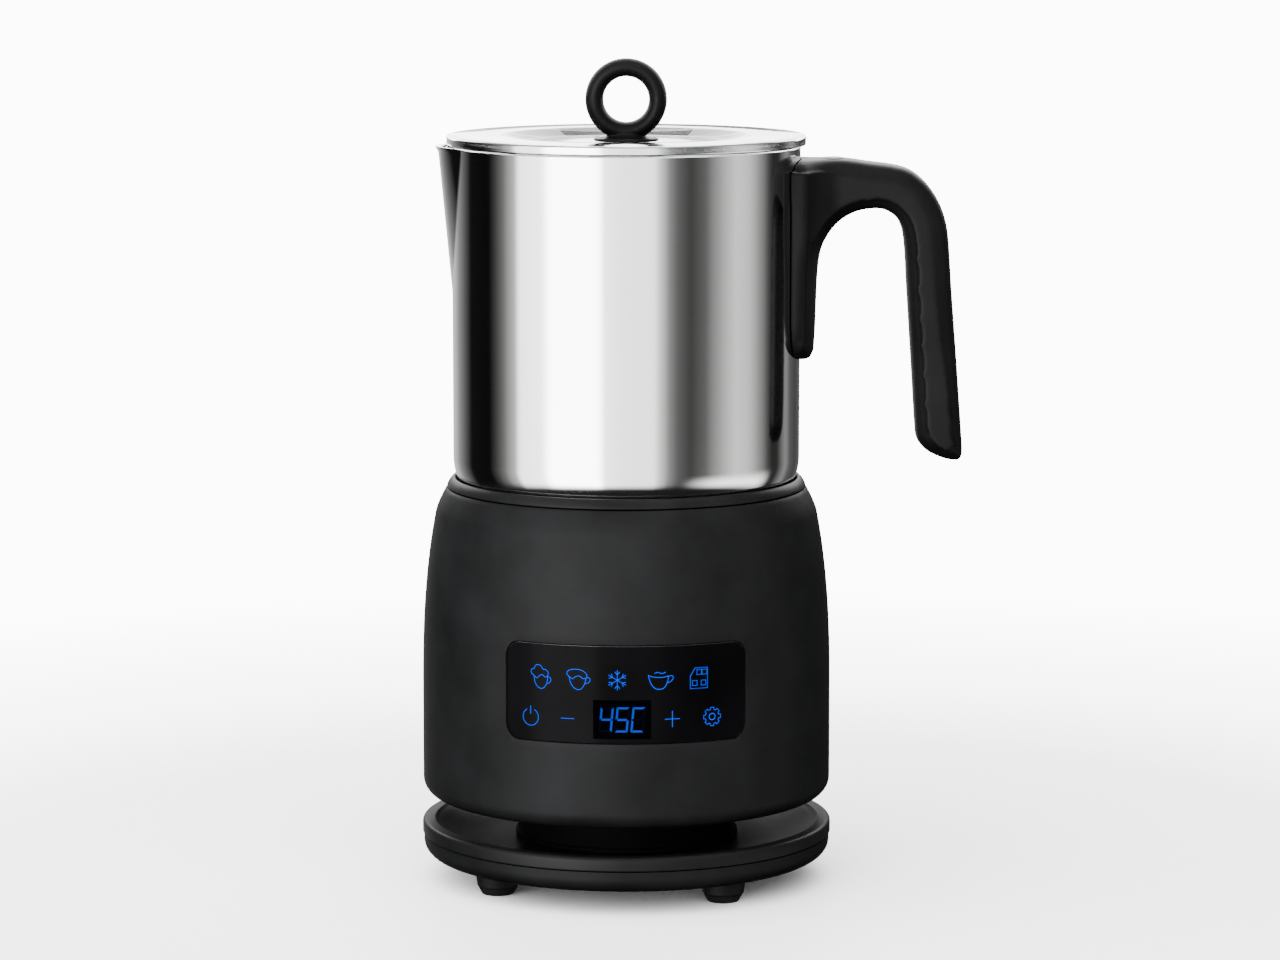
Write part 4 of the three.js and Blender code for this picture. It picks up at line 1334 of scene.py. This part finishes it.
def strokes_of(symbol: Symbol) -> list[list[Point]]:
    """The lines of a symbol, in millimetres across and up from its middle."""
    if symbol is Symbol.TALL_FROTH:
        bowl = [(-2.1, 0.3), (-1.9, -1.2), (-1.3, -2.5), (-0.3, -3.2), (0.7, -3.2), (1.5, -2.5), (2.1, -1.1),
                (2.2, 0.5)]
        cloud = [(-2.1, 0.3), (-3.0, 1.1), (-2.9, 2.1), (-2.0, 2.5), (-1.7, 3.3), (-0.7, 3.6), (0.2, 3.2),
                 (0.7, 2.4), (1.6, 2.3), (2.4, 1.5), (2.2, 0.5)]
        wave = [(-2.0, 0.2), (-1.1, -0.3), (-0.3, 0.5), (0.6, 0.7), (1.4, 0.1), (2.2, 0.5)]
        handle = [(2.2, 0.2), (3.0, 0.1), (3.2, -0.8), (2.6, -1.6), (1.9, -1.6)]
        return [spline(bowl, 3), spline(cloud, 3), spline(wave, 3), spline(handle, 3)]
    if symbol is Symbol.FROTH:
        bowl = [(-2.8, 0.8), (-2.3, -1.0), (-1.4, -2.4), (-0.2, -3.0), (0.8, -2.8), (1.8, -1.5), (2.3, 0.3)]
        cloud = [(-2.8, 0.8), (-3.4, 1.5), (-3.0, 2.4), (-1.4, 2.9), (0.5, 2.8), (2.0, 2.1), (2.6, 1.1),
                 (2.3, 0.3)]
        wave = [(-2.6, 0.7), (-1.7, 0.1), (-0.9, 0.7), (0.3, 1.0), (1.3, 0.3), (2.3, 0.3)]
        handle = [(2.4, 0.6), (3.3, 0.5), (3.5, -0.3), (2.8, -1.0), (2.0, -1.1)]
        return [spline(bowl, 3), spline(cloud, 3), spline(wave, 3), spline(handle, 3)]
    if symbol is Symbol.SNOWFLAKE:
        lines = []
        for turn in range(6):
            a = math.radians(60 * turn + 30)
            out = (math.cos(a), math.sin(a))
            across = (-out[1], out[0])
            lines.append([(0.0, 0.0), (2.95 * out[0], 2.95 * out[1])])
            for side in (-0.75, 0.75):
                end = (2.45 * out[0] + side * across[0], 2.45 * out[1] + side * across[1])
                lines.append([(1.55 * out[0], 1.55 * out[1]), end])
        return lines
    if symbol is Symbol.CUP:
        bowl = [(-3.2, 1.4), (-2.9, 0.1), (-2.2, -1.5), (-1.0, -2.6), (0.8, -2.7), (1.9, -1.8), (2.5, -0.4),
                (2.7, 1.1)]
        rim = [(-3.2, 1.4), (-2.0, 0.9), (-0.4, 0.7), (1.2, 0.7), (2.7, 1.1)]
        handle = [(2.7, 0.9), (3.8, 1.1), (4.1, 0.4), (3.4, -0.6), (2.4, -0.9)]
        steam = [(-1.4, 1.9), (-0.4, 2.2), (0.7, 1.8), (1.9, 2.2)]
        return [spline(bowl, 3), spline(rim, 3), spline(handle, 3), spline(steam, 3)]
    if symbol is Symbol.CHOCOLATE:
        bar = [(-2.7, -3.0), (-2.7, 0.7), (-1.3, 3.0), (2.6, 3.0), (2.6, -3.0)]
        return [loop(bar), *squares([(0.0, 1.75), (1.65, 1.75), (-1.35, -1.4), (1.35, -1.4)], 0.72)]
    if symbol is Symbol.POWER:
        return [arc((0.0, -0.3), 2.5, 118, 422, 30), [(0.0, 0.6), (0.0, 3.0)]]
    if symbol is Symbol.MINUS:
        return [[(-2.0, 0.0), (2.0, 0.0)]]
    if symbol is Symbol.PLUS:
        return [[(-2.2, 0.0), (2.2, 0.0)], [(0.0, -2.4), (0.0, 2.4)]]
    teeth = []
    for tooth in range(8):
        for turn, radius in ((-15, 2.15), (-11, 2.75), (11, 2.75), (15, 2.15)):
            a = math.radians(45 * tooth + turn)
            teeth.append((radius * math.cos(a), radius * math.sin(a)))
    return [loop(teeth), arc((0.0, 0.0), 0.95, 0, 360, 20)]


@dataclass
class TouchPanel:
    """The curved glossy panel in the housing's front, with its lit display and its touch symbols."""

    housing: Housing
    thickness: float = 1.4
    fit: float = 0.05
    chamfer: float = 0.5
    chamfer_tilts: Point = (0.25, 0.96)
    window_half: Point = (8.4, 5.7)
    lit_height: float = 0.075
    unlit_height: float = 0.06
    line_radius: float = 0.14
    upper_row: float = 70.1
    lower_row: float = 58.5
    symbols: tuple[tuple[Symbol, float, bool], ...] = (
        (Symbol.TALL_FROTH, -23.8, True),
        (Symbol.FROTH, -13.0, True),
        (Symbol.SNOWFLAKE, -2.3, True),
        (Symbol.CUP, 9.1, True),
        (Symbol.CHOCOLATE, 20.3, True),
        (Symbol.POWER, -26.8, False),
        (Symbol.MINUS, -16.0, False),
        (Symbol.PLUS, 12.7, False),
        (Symbol.GEAR, 24.1, False),
    )
    digit_height: float = 7.4
    digit_width: float = 3.8
    digit_pitch: float = 4.6
    stroke: float = 0.6
    bar_gap: float = 0.1
    slant: float = 0.09
    digits: tuple[str, ...] = ("bcfg", "acdfg", "adef")
    digits_angle: float = -1.0

    def on_face(self, across: float, level: float, out: float) -> Point3:
        """A point on the panel's face, by its way round in millimetres and its level.

        Args:
            across: the way round from the middle, to the right.
            level: the height.
            out: how far in front of the face.

        Returns:
            The point from the jug's axis.
        """
        face = self.housing.side(level) - self.housing.recess
        turn = math.radians(-90) + across / face
        radius = face + out
        return (radius * math.cos(turn), radius * math.sin(turn), level)

    def lens(self) -> bpy.types.Object:
        """Builds the panel's glossy cover, with a polished chamfer round it whose lighter grey colour is a
        painted highlight.
        """
        lens = self.housing.plate("panel_lens", Look.PANEL, -self.fit, -self.housing.recess, self.thickness)
        bevel(lens, self.chamfer, segments=3)
        # The chamfer's faces take the lighter grey colour: a painted highlight round the lens.
        lens.data.materials.append(EFFECTS.of(Look.PANEL_EDGE))
        for face in lens.data.polygons:
            out = Vector((face.center.x - AXIS_X, face.center.y - AXIS_Y, 0)).normalized()
            if self.chamfer_tilts[0] < face.normal.dot(out) < self.chamfer_tilts[1]:
                face.material_index = 1
        return lens

    def window(self) -> bpy.types.Object:
        """Builds the darker window over the display, printed on the cover."""
        middle = math.radians(self.digits_angle) * self.housing.side(self.lower_row)
        half_width, half_height = self.window_half
        columns, steps = 24, 8
        front, back = [], []
        for step in range(steps + 1):
            level = self.lower_row - half_height + 2 * half_height * step / steps
            places = [middle - half_width + 2 * half_width * i / columns for i in range(columns + 1)]
            front.append([self.on_face(place, level, 0.035) for place in places])
            back.append([self.on_face(place, level, -0.08) for place in reversed(places)])
        shape = Shape()
        shape.grid(front)
        shape.grid(back)
        for end in (0, -1):
            shape.grid([list(reversed(back[end])), front[end]])
            shape.grid([[row[end] for row in front], [row[-1 - end] for row in back]])
        return shape.made("display_window", Look.WINDOW)

    def segment_lines(self, lit: str, middle: float) -> tuple[list, list]:
        """The bars of one seven-part digit.

        Args:
            lit: the letters of its lit bars.
            middle: the digit's middle, in millimetres round from the panel's middle.

        Returns:
            The four-cornered bars that are lit, and those that are not.
        """
        w, h, s, k = self.digit_width / 2, self.digit_height / 2, self.stroke, self.bar_gap
        t = s / 2
        bars = {
            "a": [(-w + k, h), (w - k, h), (w - s - k, h - s), (-w + s + k, h - s)],
            "d": [(-w + s + k, s - h), (w - s - k, s - h), (w - k, -h), (-w + k, -h)],
            "g": [(-w + t + 2 * k, t), (w - t - 2 * k, t), (w - t - 2 * k, -t), (-w + t + 2 * k, -t)],
            "f": [(-w, h - k), (-w + s, h - s - k), (-w + s, t + k), (-w, k)],
            "b": [(w - s, h - s - k), (w, h - k), (w, k), (w - s, t + k)],
            "e": [(-w, -k), (-w + s, -t - k), (-w + s, s - h + k), (-w, k - h)],
            "c": [(w - s, -t - k), (w, -k), (w, k - h), (w - s, s - h + k)],
        }
        on, off = [], []
        for letter, corners in bars.items():
            placed = [(middle + x + y * self.slant, self.lower_row + y) for x, y in corners]
            (on if letter in lit else off).append(placed)
        return on, off

    def bars(self, name: str, look: Look, quads: Sequence[Sequence[Point]], out: float) -> bpy.types.Object:
        """Builds thin raised bars on the panel's face from four-cornered outlines."""
        shape = Shape()
        sides = [(i, (i + 1) % 4, (i + 1) % 4 + 4, i + 4) for i in range(4)]
        for quad in quads:
            front = [self.on_face(x, level, out) for x, level in quad]
            back = [self.on_face(x, level, -0.02) for x, level in quad]
            shape.add([*front, *back], [(0, 1, 2, 3), (7, 6, 5, 4), *sides])
        return shape.made(name, look)

    def signs(self, name: str, look: Look, chosen: Sequence[tuple[Symbol, float, bool]]) -> bpy.types.Object:
        """Builds the touch symbols as fine lines that lie on the panel."""
        lines = []
        for symbol, angle, upper in chosen:
            level = self.upper_row if upper else self.lower_row
            middle = math.radians(angle) * self.housing.side(level)
            for stroke in strokes_of(symbol):
                lines.append([self.on_face(middle + x, level + y, -0.05) for x, y in stroke])
        return wires(name, look, lines, self.line_radius, sides=8)

    def build(self) -> None:
        """Makes the panel's pieces."""
        installed(self.lens(), "base", "touch_lens")
        installed(self.window(), "base")
        lit, unlit = [], []
        middle = math.radians(self.digits_angle) * self.housing.side(self.lower_row)
        for index, letters in enumerate(self.digits):
            on, off = self.segment_lines(letters, middle + (index - 1) * self.digit_pitch)
            lit += on
            unlit += off
        installed(self.bars("display_lit_bars", Look.LIT_BARS, lit, self.lit_height), "base")
        installed(self.bars("display_unlit_bars", Look.UNLIT, unlit, self.unlit_height), "base")
        installed(self.signs("touch_symbols", Look.LIT_BLUE, self.symbols), "base")


# ---------------------------------------------------------------- the foot


@dataclass
class Plinth:
    """The foot under the ventilation gap: a dished top, a closed bottom and four rubber feet."""

    radius: float = (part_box("plinth_top")[1].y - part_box("plinth_top")[0].y) / 2 / MM
    rim: float = high("plinth_top")
    bottom: float = low("plinth_bottom") + 4.5
    bottom_high: float = high("plinth_bottom")
    bottom_low: float = low("plinth_bottom")
    parting: float = 13.5
    edge: float = 4.5
    overhang: float = 0.4
    wall: float = 2.0
    stub: float = 6.8
    dish_drop: float = 5.2
    floor_radius: float = 34.6

    def top(self) -> bpy.types.Object:
        """Builds the dished top with its rounded rim."""
        rim, low_edge = self.rim, self.parting + 0.15
        floor = self.rim - self.dish_drop
        profile = [(24.0, floor)]
        profile += [(self.floor_radius, floor)]
        profile += bend((self.floor_radius + 4, floor), (49.0, floor + 0.2), (56.6, rim - 0.75), 12)
        profile += rounded([
            (56.8, rim - 0.7, 0),
            (57.7, rim, 0.8),
            (self.radius, rim, 1.3),
            (self.radius, low_edge, 0.4),
            (self.radius - 2.0, low_edge, 0),
        ])
        inner = self.radius - 2.2
        profile += bend((inner, low_edge + 0.3), (inner, rim - 1.9), (inner - 1.6, rim - 2.1), 4)
        profile += bend((55.0, rim - 2.6), (48.6, floor - 1.6), (self.floor_radius + 4, floor - 1.6), 8)
        profile += [(24.0, floor - 1.6)]
        return turned("plinth_dish", Look.TRIM, profile, 256, sharp=40)

    def pan(self) -> bpy.types.Object:
        """Builds the closed bottom with four stubs for the feet."""
        outer = self.radius - self.overhang
        inside = outer - self.wall
        profile = [(0.0, self.bottom), (outer - self.edge, self.bottom)]
        profile += arc((outer - self.edge, self.bottom + self.edge), self.edge, -90, 0, 12)[1:]
        profile += [(outer, self.bottom_high), (inside, self.bottom_high), (inside, self.bottom + self.edge)]
        profile += [(inside - 2.6, self.bottom + 2), (0.0, self.bottom + 2)]
        pan = turned("plinth_pan", Look.HOUSING, profile, 256, sharp=40)
        for place in self.places():
            stub = rounded([(0, self.bottom_low, 0), (self.stub - 0.7, self.bottom_low, 0.5),
                            (self.stub, self.bottom + 1.0, 0), (0, self.bottom + 1.0, 0)], closed=False)
            added = pan.modifiers.new("stub", "BOOLEAN")
            added.operation = "UNION"
            added.solver = "EXACT"
            added.object = turned("stub", Look.HOUSING, stub, 64, centre=place)
            cutter = added.object
            apply_modifiers(pan)
            bpy.data.objects.remove(cutter)
        return finished(pan, Look.HOUSING, sharp=40)

    def places(self) -> list[Point]:
        """Where the four feet stand."""
        middles = []
        for index in range(1, 5):
            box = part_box(f"foot_pad_{index}")
            middle = (box[0] + box[1]) / 2 / MM
            middles.append((middle.x - AXIS_X / MM, middle.y - AXIS_Y / MM))
        return middles

    def foot(self, index: int, place: Point) -> bpy.types.Object:
        """Builds one rubber foot with tread rings."""
        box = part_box(f"foot_pad_{index}")
        bottom, top = box[0].z / MM, box[1].z / MM
        upper = (box[1].x - box[0].x) / 2 / MM
        lower = upper - 1.1
        tread: list[Point3] = [(0, bottom + 0.35, 0)]
        for radius in (1.2, 2.4, 3.6):
            tread += [(radius - 0.35, bottom + 0.35, 0.05), (radius - 0.25, bottom, 0.05)]
            tread += [(radius + 0.25, bottom, 0.05), (radius + 0.35, bottom + 0.35, 0.05)]
        tread += [(lower - 0.35, bottom, 0.1), (lower, bottom, 0.3)]
        tread += [(upper, top, 0.3), (upper - 0.5, top, 0), (0, top, 0)]
        profile = rounded(tread, closed=False, steps=2)
        return turned(f"rubber_foot_{index}", Look.RUBBER, profile, 64, centre=place)

    def gland(self) -> bpy.types.Object:
        """Builds the ribbed collar where the mains lead comes out at the back."""
        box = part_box("cord_gland")
        start, end = box[0].y / MM - AXIS_Y / MM, box[1].y / MM - AXIS_Y / MM
        level = (box[0].z + box[1].z) / 2 / MM
        radius = (box[1].x - box[0].x) / 2 / MM
        profile: list[Point3] = [(2.2, start, 0.2), (radius - 0.5, start, 0.2)]
        place = start + 0.5
        while place < end - 1.5:
            profile += [(radius - 0.5, place, 0.1), (radius, place + 0.3, 0.15), (radius, place + 0.8, 0.15),
                        (radius - 0.5, place + 1.1, 0.1)]
            place += 1.7
        profile += [(radius - 0.5, end, 0.4), (2.2, end, 0.2)]

        def laid(corner: Point3) -> Point3:
            """Lays the turned shape along Y at its own level."""
            x, y, z = corner
            return (x, z, level - y)

        return turned("lead_collar", Look.RUBBER, rounded(profile, steps=3), 48, warp=laid)

    def build(self) -> None:
        """Makes the foot's pieces."""
        installed(self.top(), "base", "plinth_top")
        installed(self.pan(), "base", "plinth_bottom")
        for index, place in enumerate(self.places(), start=1):
            installed(self.foot(index, place), "base", f"foot_pad_{index}")
        installed(self.gland(), "base", "cord_gland")


# ---------------------------------------------------------------- the whisk


@dataclass
class Whisk:
    """The froth whisk that a magnet drives: a wavy disc, its coil-spring ring, the magnet and a bush."""

    disc_low: float = low("whisk_disc")
    disc_high: float = high("whisk_disc")
    radius: float = (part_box("whisk_disc")[1].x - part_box("whisk_disc")[0].x) / 2 / MM
    waves: int = 10
    wave_depth: float = 1.3
    hub: float = 5.9
    bush_radius: float = 3.2

    def disc(self) -> bpy.types.Object:
        """Builds the disc with a scalloped edge, round a hole for the bush."""
        inner = self.bush_radius + 0.3
        profile = rounded([
            (inner, self.disc_low, 0.2),
            (self.radius, self.disc_low, 0.4),
            (self.radius, self.disc_high, 0.4),
            (self.hub + 1.6, self.disc_high, 1.0),
            (self.hub + 1.2, self.disc_high, 0.2),
            (inner, self.disc_high, 0.3),
        ])

        def wavy(corner: Point3) -> Point3:
            """Draws the rim in between its waves."""
            x, y, z = corner
            around = math.hypot(x, y)
            share = max(0.0, (around - self.hub - 3) / (self.radius - self.hub - 3))
            turn = math.atan2(y, x)
            scale = 1 - share * self.wave_depth * (1 - math.cos(self.waves * turn)) / 2 / around
            return (x * scale, y * scale, max(z, self.disc_low))

        return turned("whisk_wheel", Look.SATIN, profile, 240, warp=wavy)

    def spring(self) -> bpy.types.Object:
        """Builds the froth ring as a coil spring bent round into a circle."""
        low_box, high_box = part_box("froth_ring")
        level = (low_box.z + high_box.z) / 2 / MM
        thick = (high_box.z - low_box.z) / 2 / MM
        major = (high_box.x - low_box.x) / 2 / MM - thick
        wire = 0.24
        coils, steps = 60, 14
        line = []
        for step in range(coils * steps):
            turn = 2 * math.pi * step / (coils * steps)
            around = 2 * math.pi * step / steps
            radius = major + (thick - wire) * math.cos(around)
            height = level + (thick - wire) * math.sin(around)
            line.append((radius * math.cos(turn), radius * math.sin(turn), height))
        return wires("froth_spring", Look.BRIGHT_STEEL, [[*line, line[0]]], wire, sides=6)

    def build(self) -> None:
        """Makes the whisk's own pieces."""
        installed(self.disc(), "whisk", "whisk_disc")
        installed(self.spring(), "whisk", "froth_ring")


# ---------------------------------------------------------------- what the housing hides


@dataclass
class Sensor:
    """The spring that holds the temperature sensor up against the jug."""

    turns: int = 3
    steps: int = 24
    wire: float = 0.14
    pressed: float = 0.28

    def spring(self) -> bpy.types.Object:
        """Winds the spring between the coil former and the sensor's flange."""
        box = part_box("sensor_spring")
        middle = ((box[0] + box[1]) / 2) / MM
        x, y = middle.x - AXIS_X / MM, middle.y - AXIS_Y / MM
        reach = (box[1].x - box[0].x) / 2 / MM - self.wire - 0.02
        bottom, top = box[0].z / MM + self.wire, box[1].z / MM - self.wire
        line = []
        for index in range(self.turns * self.steps + 1):
            turn = 2 * math.pi * index / self.steps
            level = bottom + (top - bottom) * index / (self.turns * self.steps)
            line.append((x + reach * math.cos(turn), y + reach * math.sin(turn), level))
        return wires("sensor_spring_wire", Look.BRIGHT_STEEL, [line], self.wire, sides=8)

    def build(self) -> None:
        """Makes the spring, with a mesh of its own."""
        piece = installed(self.spring(), "base", "sensor_spring")
        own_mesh(piece)


@dataclass
class Inside:
    """The working parts that keep their CAD shape, and the finish of each."""

    looks: dict[str, Look] = field(default_factory=lambda: {
        "housing": Look.HOUSING,
        "satin": Look.SATIN,
        "rubber": Look.RUBBER,
        "steel": Look.BRIGHT_STEEL,
        "panel": Look.PANEL,
        "clear": Look.CLEAR,
        "silicone": Look.SILICONE,
        "copper": Look.COPPER,
        "ferrite": Look.FERRITE,
        "zinc": Look.ZINC,
        "circuit": Look.BOARD,
        "nylon": Look.NYLON,
        "display": Look.UNLIT,
    })

    def build(self) -> None:
        """Gives every CAD node a finish by its slot in the record."""
        for name, node in frame["nodes"].items():
            look = self.looks[self.slot_of(name)]
            node.data.materials.clear()
            node.data.materials.append(EFFECTS.of(look))
            log.info("%s keeps its shape, in %s", name, look.name.lower())

    @staticmethod
    def slot_of(name: str) -> str:
        """The material slot that the record gives a node."""
        for part in frame["record"]["subparts"]:
            if part["node"] == name:
                return part["material_slot"]
        return "satin"


# ---------------------------------------------------------------- the studio


@dataclass
class Studio:
    """A pale floor, a white surround with the bands that polished steel mirrors, and the camera."""

    look_at: Point3 = (-0.01525, -0.0013, 0.120)
    distance: float = 1.408
    elevation: float = 7.9
    lens: float = 132.0
    bands: tuple[Point, ...] = (
        (-180, 1.1), (-158, 0.9), (-146, 0.36), (-134, 0.14), (-125, 0.01), (-102, 0.005), (-96, 0.07),
        (-88, 0.24), (-78, 0.9), (-74, 4.2), (-57, 5.0), (-50, 14.0), (-19, 14.0), (-14, 4.3), (0, 3.4),
        (18, 3.3), (22, 1.4), (28, 0.4), (34, 0.17), (43, 0.075), (54, 0.17), (64, 0.55), (78, 1.35),
        (88, 1.1), (98, 0.45), (108, 0.1), (113, 0.035), (120, 0.04), (132, 0.36), (140, 0.13), (152, 0.08),
        (180, 0.2),
    )
    sky: float = 0.5
    ground: float = 0.02
    white: float = 12.0
    low_card: Point3 = (36.0, 116.0, 4.0)
    diffuse_from: Point3 = (-0.42, -0.72, 0.55)
    diffuse_level: float = 9.0
    sky_rise: Point = (0.3, 0.62)
    ground_fall: Point = (-0.34, -0.52)
    card_fall: Point = (-0.14, -0.42)
    card_fade: Point = (0.1, 0.05)
    lobe_edge: Point = (-0.1, 1.0)
    lights: tuple[tuple[str, Point3, Point3, Point, float], ...] = (
        ("key", (-0.9, -1.3, 0.9), (0.0, 0.0, 0.1), (0.9, 0.9), 3.0),
        ("top", (0.1, -0.1, 1.3), (0.0, 0.0, 0.1), (0.9, 0.9), 5.0),
        ("back_card", (0.0, 0.45, 0.42), (0.0, 0.0, 0.3), (0.9, 0.36), 8.0),
    )
    floor_radius: float = 0.6
    floor_gap: float = 0.00002
    floor_fade: Point = (0.22, 0.55)

    def camera(self) -> None:
        """Places the camera in front and a little above."""
        made = bpy.data.cameras.new("camera")
        made.lens = self.lens
        made.sensor_width = 36.0
        item = bpy.data.objects.new("camera", made)
        rise = math.radians(self.elevation)
        target = Vector(self.look_at)
        item.location = target + self.distance * Vector((0, -math.cos(rise), math.sin(rise)))
        item.rotation_euler = (target - item.location).to_track_quat("-Z", "Y").to_euler()
        bpy.context.scene.collection.objects.link(item)
        bpy.context.scene.camera = item

    def light(self, name: str, place: Point3, aim: Point3, size: Point, power: float) -> None:
        """Places one soft rectangular light that the camera doesn't see."""
        made = bpy.data.lights.new(name, "AREA")
        made.shape = "RECTANGLE"
        made.size, made.size_y = size
        made.energy = power
        item = bpy.data.objects.new(name, made)
        item.location = place
        item.rotation_euler = (Vector(aim) - Vector(place)).to_track_quat("-Z", "Y").to_euler()
        item.visible_camera = False
        bpy.context.scene.collection.objects.link(item)

    def surround(self) -> None:
        """Makes the world: white to the camera, and bands of light and dark to everything else."""
        world = bpy.data.worlds.new("surround")
        world.use_nodes = True
        bpy.context.scene.world = world
        tree = world.node_tree
        links = Links(tree)
        shader = tree.nodes["Background"]
        where = links.add("ShaderNodeTexCoord").outputs["Generated"]
        way = links.add("ShaderNodeSeparateXYZ", Vector=where)
        behind = links.maths("MULTIPLY", way.outputs["Y"], -1.0)
        turn = links.maths("ARCTAN2", way.outputs["X"], behind)
        share = links.maths("MULTIPLY_ADD", turn, 0.5 / math.pi, 0.5)
        ramp = links.add("ShaderNodeValToRGB", Fac=share)
        stops = ramp.color_ramp.elements
        for index, (angle, level) in enumerate(self.bands):
            place = (angle + 180) / 360
            stop = stops[index] if index < 2 else stops.new(place)
            stop.position = place
            stop.color = (level, level, level * 1.01, 1.0)
        rise = way.outputs["Z"]
        start, end, level = self.low_card
        first, last = start / 360 + 0.5, end / 360 + 0.5
        begun = self.step(links, share, first, first + self.card_fade[0])
        ended = self.step(links, share, last, last - self.card_fade[1])
        wide = links.maths("MULTIPLY", begun, ended)
        card = links.maths("MULTIPLY", wide, self.step(links, rise, *self.card_fall))
        tone = self.mixed(links, card, ramp.outputs["Color"], level)
        tone = self.mixed(links, self.step(links, rise, *self.sky_rise), tone, self.sky)
        tone = self.mixed(links, self.step(links, rise, *self.ground_fall), tone, self.ground)
        path = links.add("ShaderNodeLightPath")
        aim = links.add("ShaderNodeVectorMath", {"operation": "DOT_PRODUCT"})
        links.put(aim, 0, where)
        links.put(aim, 1, Vector(self.diffuse_from).normalized())
        lit = self.step(links, aim.outputs["Value"], *self.lobe_edge)
        lobe = links.maths("MULTIPLY", lit, self.diffuse_level)
        soft = links.add("ShaderNodeMix", {"data_type": "RGBA"})
        links.put(soft, 0, path.outputs["Is Diffuse Ray"])
        links.put(soft, 6, tone)
        links.put(soft, 7, lobe)
        seen = self.mixed(links, path.outputs["Is Camera Ray"], soft.outputs[2], self.white)
        links.put(shader, "Color", seen)

    @staticmethod
    def step(links: Links, value: bpy.types.NodeSocket, start: float, end: float) -> bpy.types.NodeSocket:
        """A smooth step of a value from 0 at start to 1 at end."""
        made = links.add("ShaderNodeMapRange", {"interpolation_type": "SMOOTHSTEP"}, Value=value)
        made.inputs["From Min"].default_value = start
        made.inputs["From Max"].default_value = end
        return made.outputs["Result"]

    @staticmethod
    def mixed(
        links: Links, share: bpy.types.NodeSocket, tone: bpy.types.NodeSocket, level: float
    ) -> bpy.types.NodeSocket:
        """A tone that turns into a plain grey level.

        Args:
            links: the tree's links helper.
            share: how much of the grey level there is, from 0 to 1.
            tone: the tone where the share is 0.
            level: the grey level.

        Returns:
            The mixed tone's socket.
        """
        made = links.add("ShaderNodeMix", {"data_type": "RGBA"})
        links.put(made, 0, share)
        links.put(made, 6, tone)
        links.put(made, 7, (level, level, level, 1.0))
        return made.outputs[2]

    def floor(self) -> None:
        """Makes the pale floor, which fades out into the white surround."""
        segments = 96
        angles = [2 * math.pi * step / segments for step in range(segments)]
        mesh = bpy.data.meshes.new("floor")
        reach, level = self.floor_radius, -self.floor_gap
        rim = [(reach * math.cos(a), reach * math.sin(a), level) for a in angles]
        mesh.from_pydata(rim, [], [tuple(range(segments))])
        item = bpy.data.objects.new("floor", mesh)
        bpy.context.scene.collection.objects.link(item)
        material = bpy.data.materials.new("pale_floor")
        material.use_nodes = True
        links = Links(material.node_tree)
        shader = material.node_tree.nodes["Principled BSDF"]
        shader.inputs["Base Color"].default_value = (0.94, 0.94, 0.945, 1.0)
        shader.inputs["Roughness"].default_value = 0.45
        where = links.add("ShaderNodeTexCoord").outputs["Object"]
        far = links.add("ShaderNodeVectorMath", {"operation": "LENGTH"}, Vector=where).outputs["Value"]
        fade = links.add("ShaderNodeMapRange", Value=far)
        fade.inputs["From Min"].default_value = self.floor_fade[0]
        fade.inputs["From Max"].default_value = self.floor_fade[1]
        fade.inputs["To Min"].default_value = 1.0
        fade.inputs["To Max"].default_value = 0.0
        links.put(shader, "Alpha", fade.outputs["Result"])
        mesh.materials.append(material)
        item.visible_glossy = False
        item.visible_diffuse = False

    def build(self) -> None:
        """Sets the whole studio up."""
        self.camera()
        self.surround()
        self.floor()
        for name, place, aim, size, power in self.lights:
            self.light(name, place, aim, size, power)


# ---------------------------------------------------------------- all of it


def main() -> None:
    """Builds the studio and the frother."""
    logging.basicConfig(level=logging.INFO, format="%(name)s: %(message)s")
    Studio().build()
    housing = Housing()
    assemblies = (
        housing, TouchPanel(housing), Plinth(), Jug(), JugHandle(), Lid(), Whisk(), Sensor(), Inside()
    )
    for assembly in assemblies:
        assembly.build()
        log.info("%s is built", type(assembly).__name__)


if __name__ == "__main__":
    main()
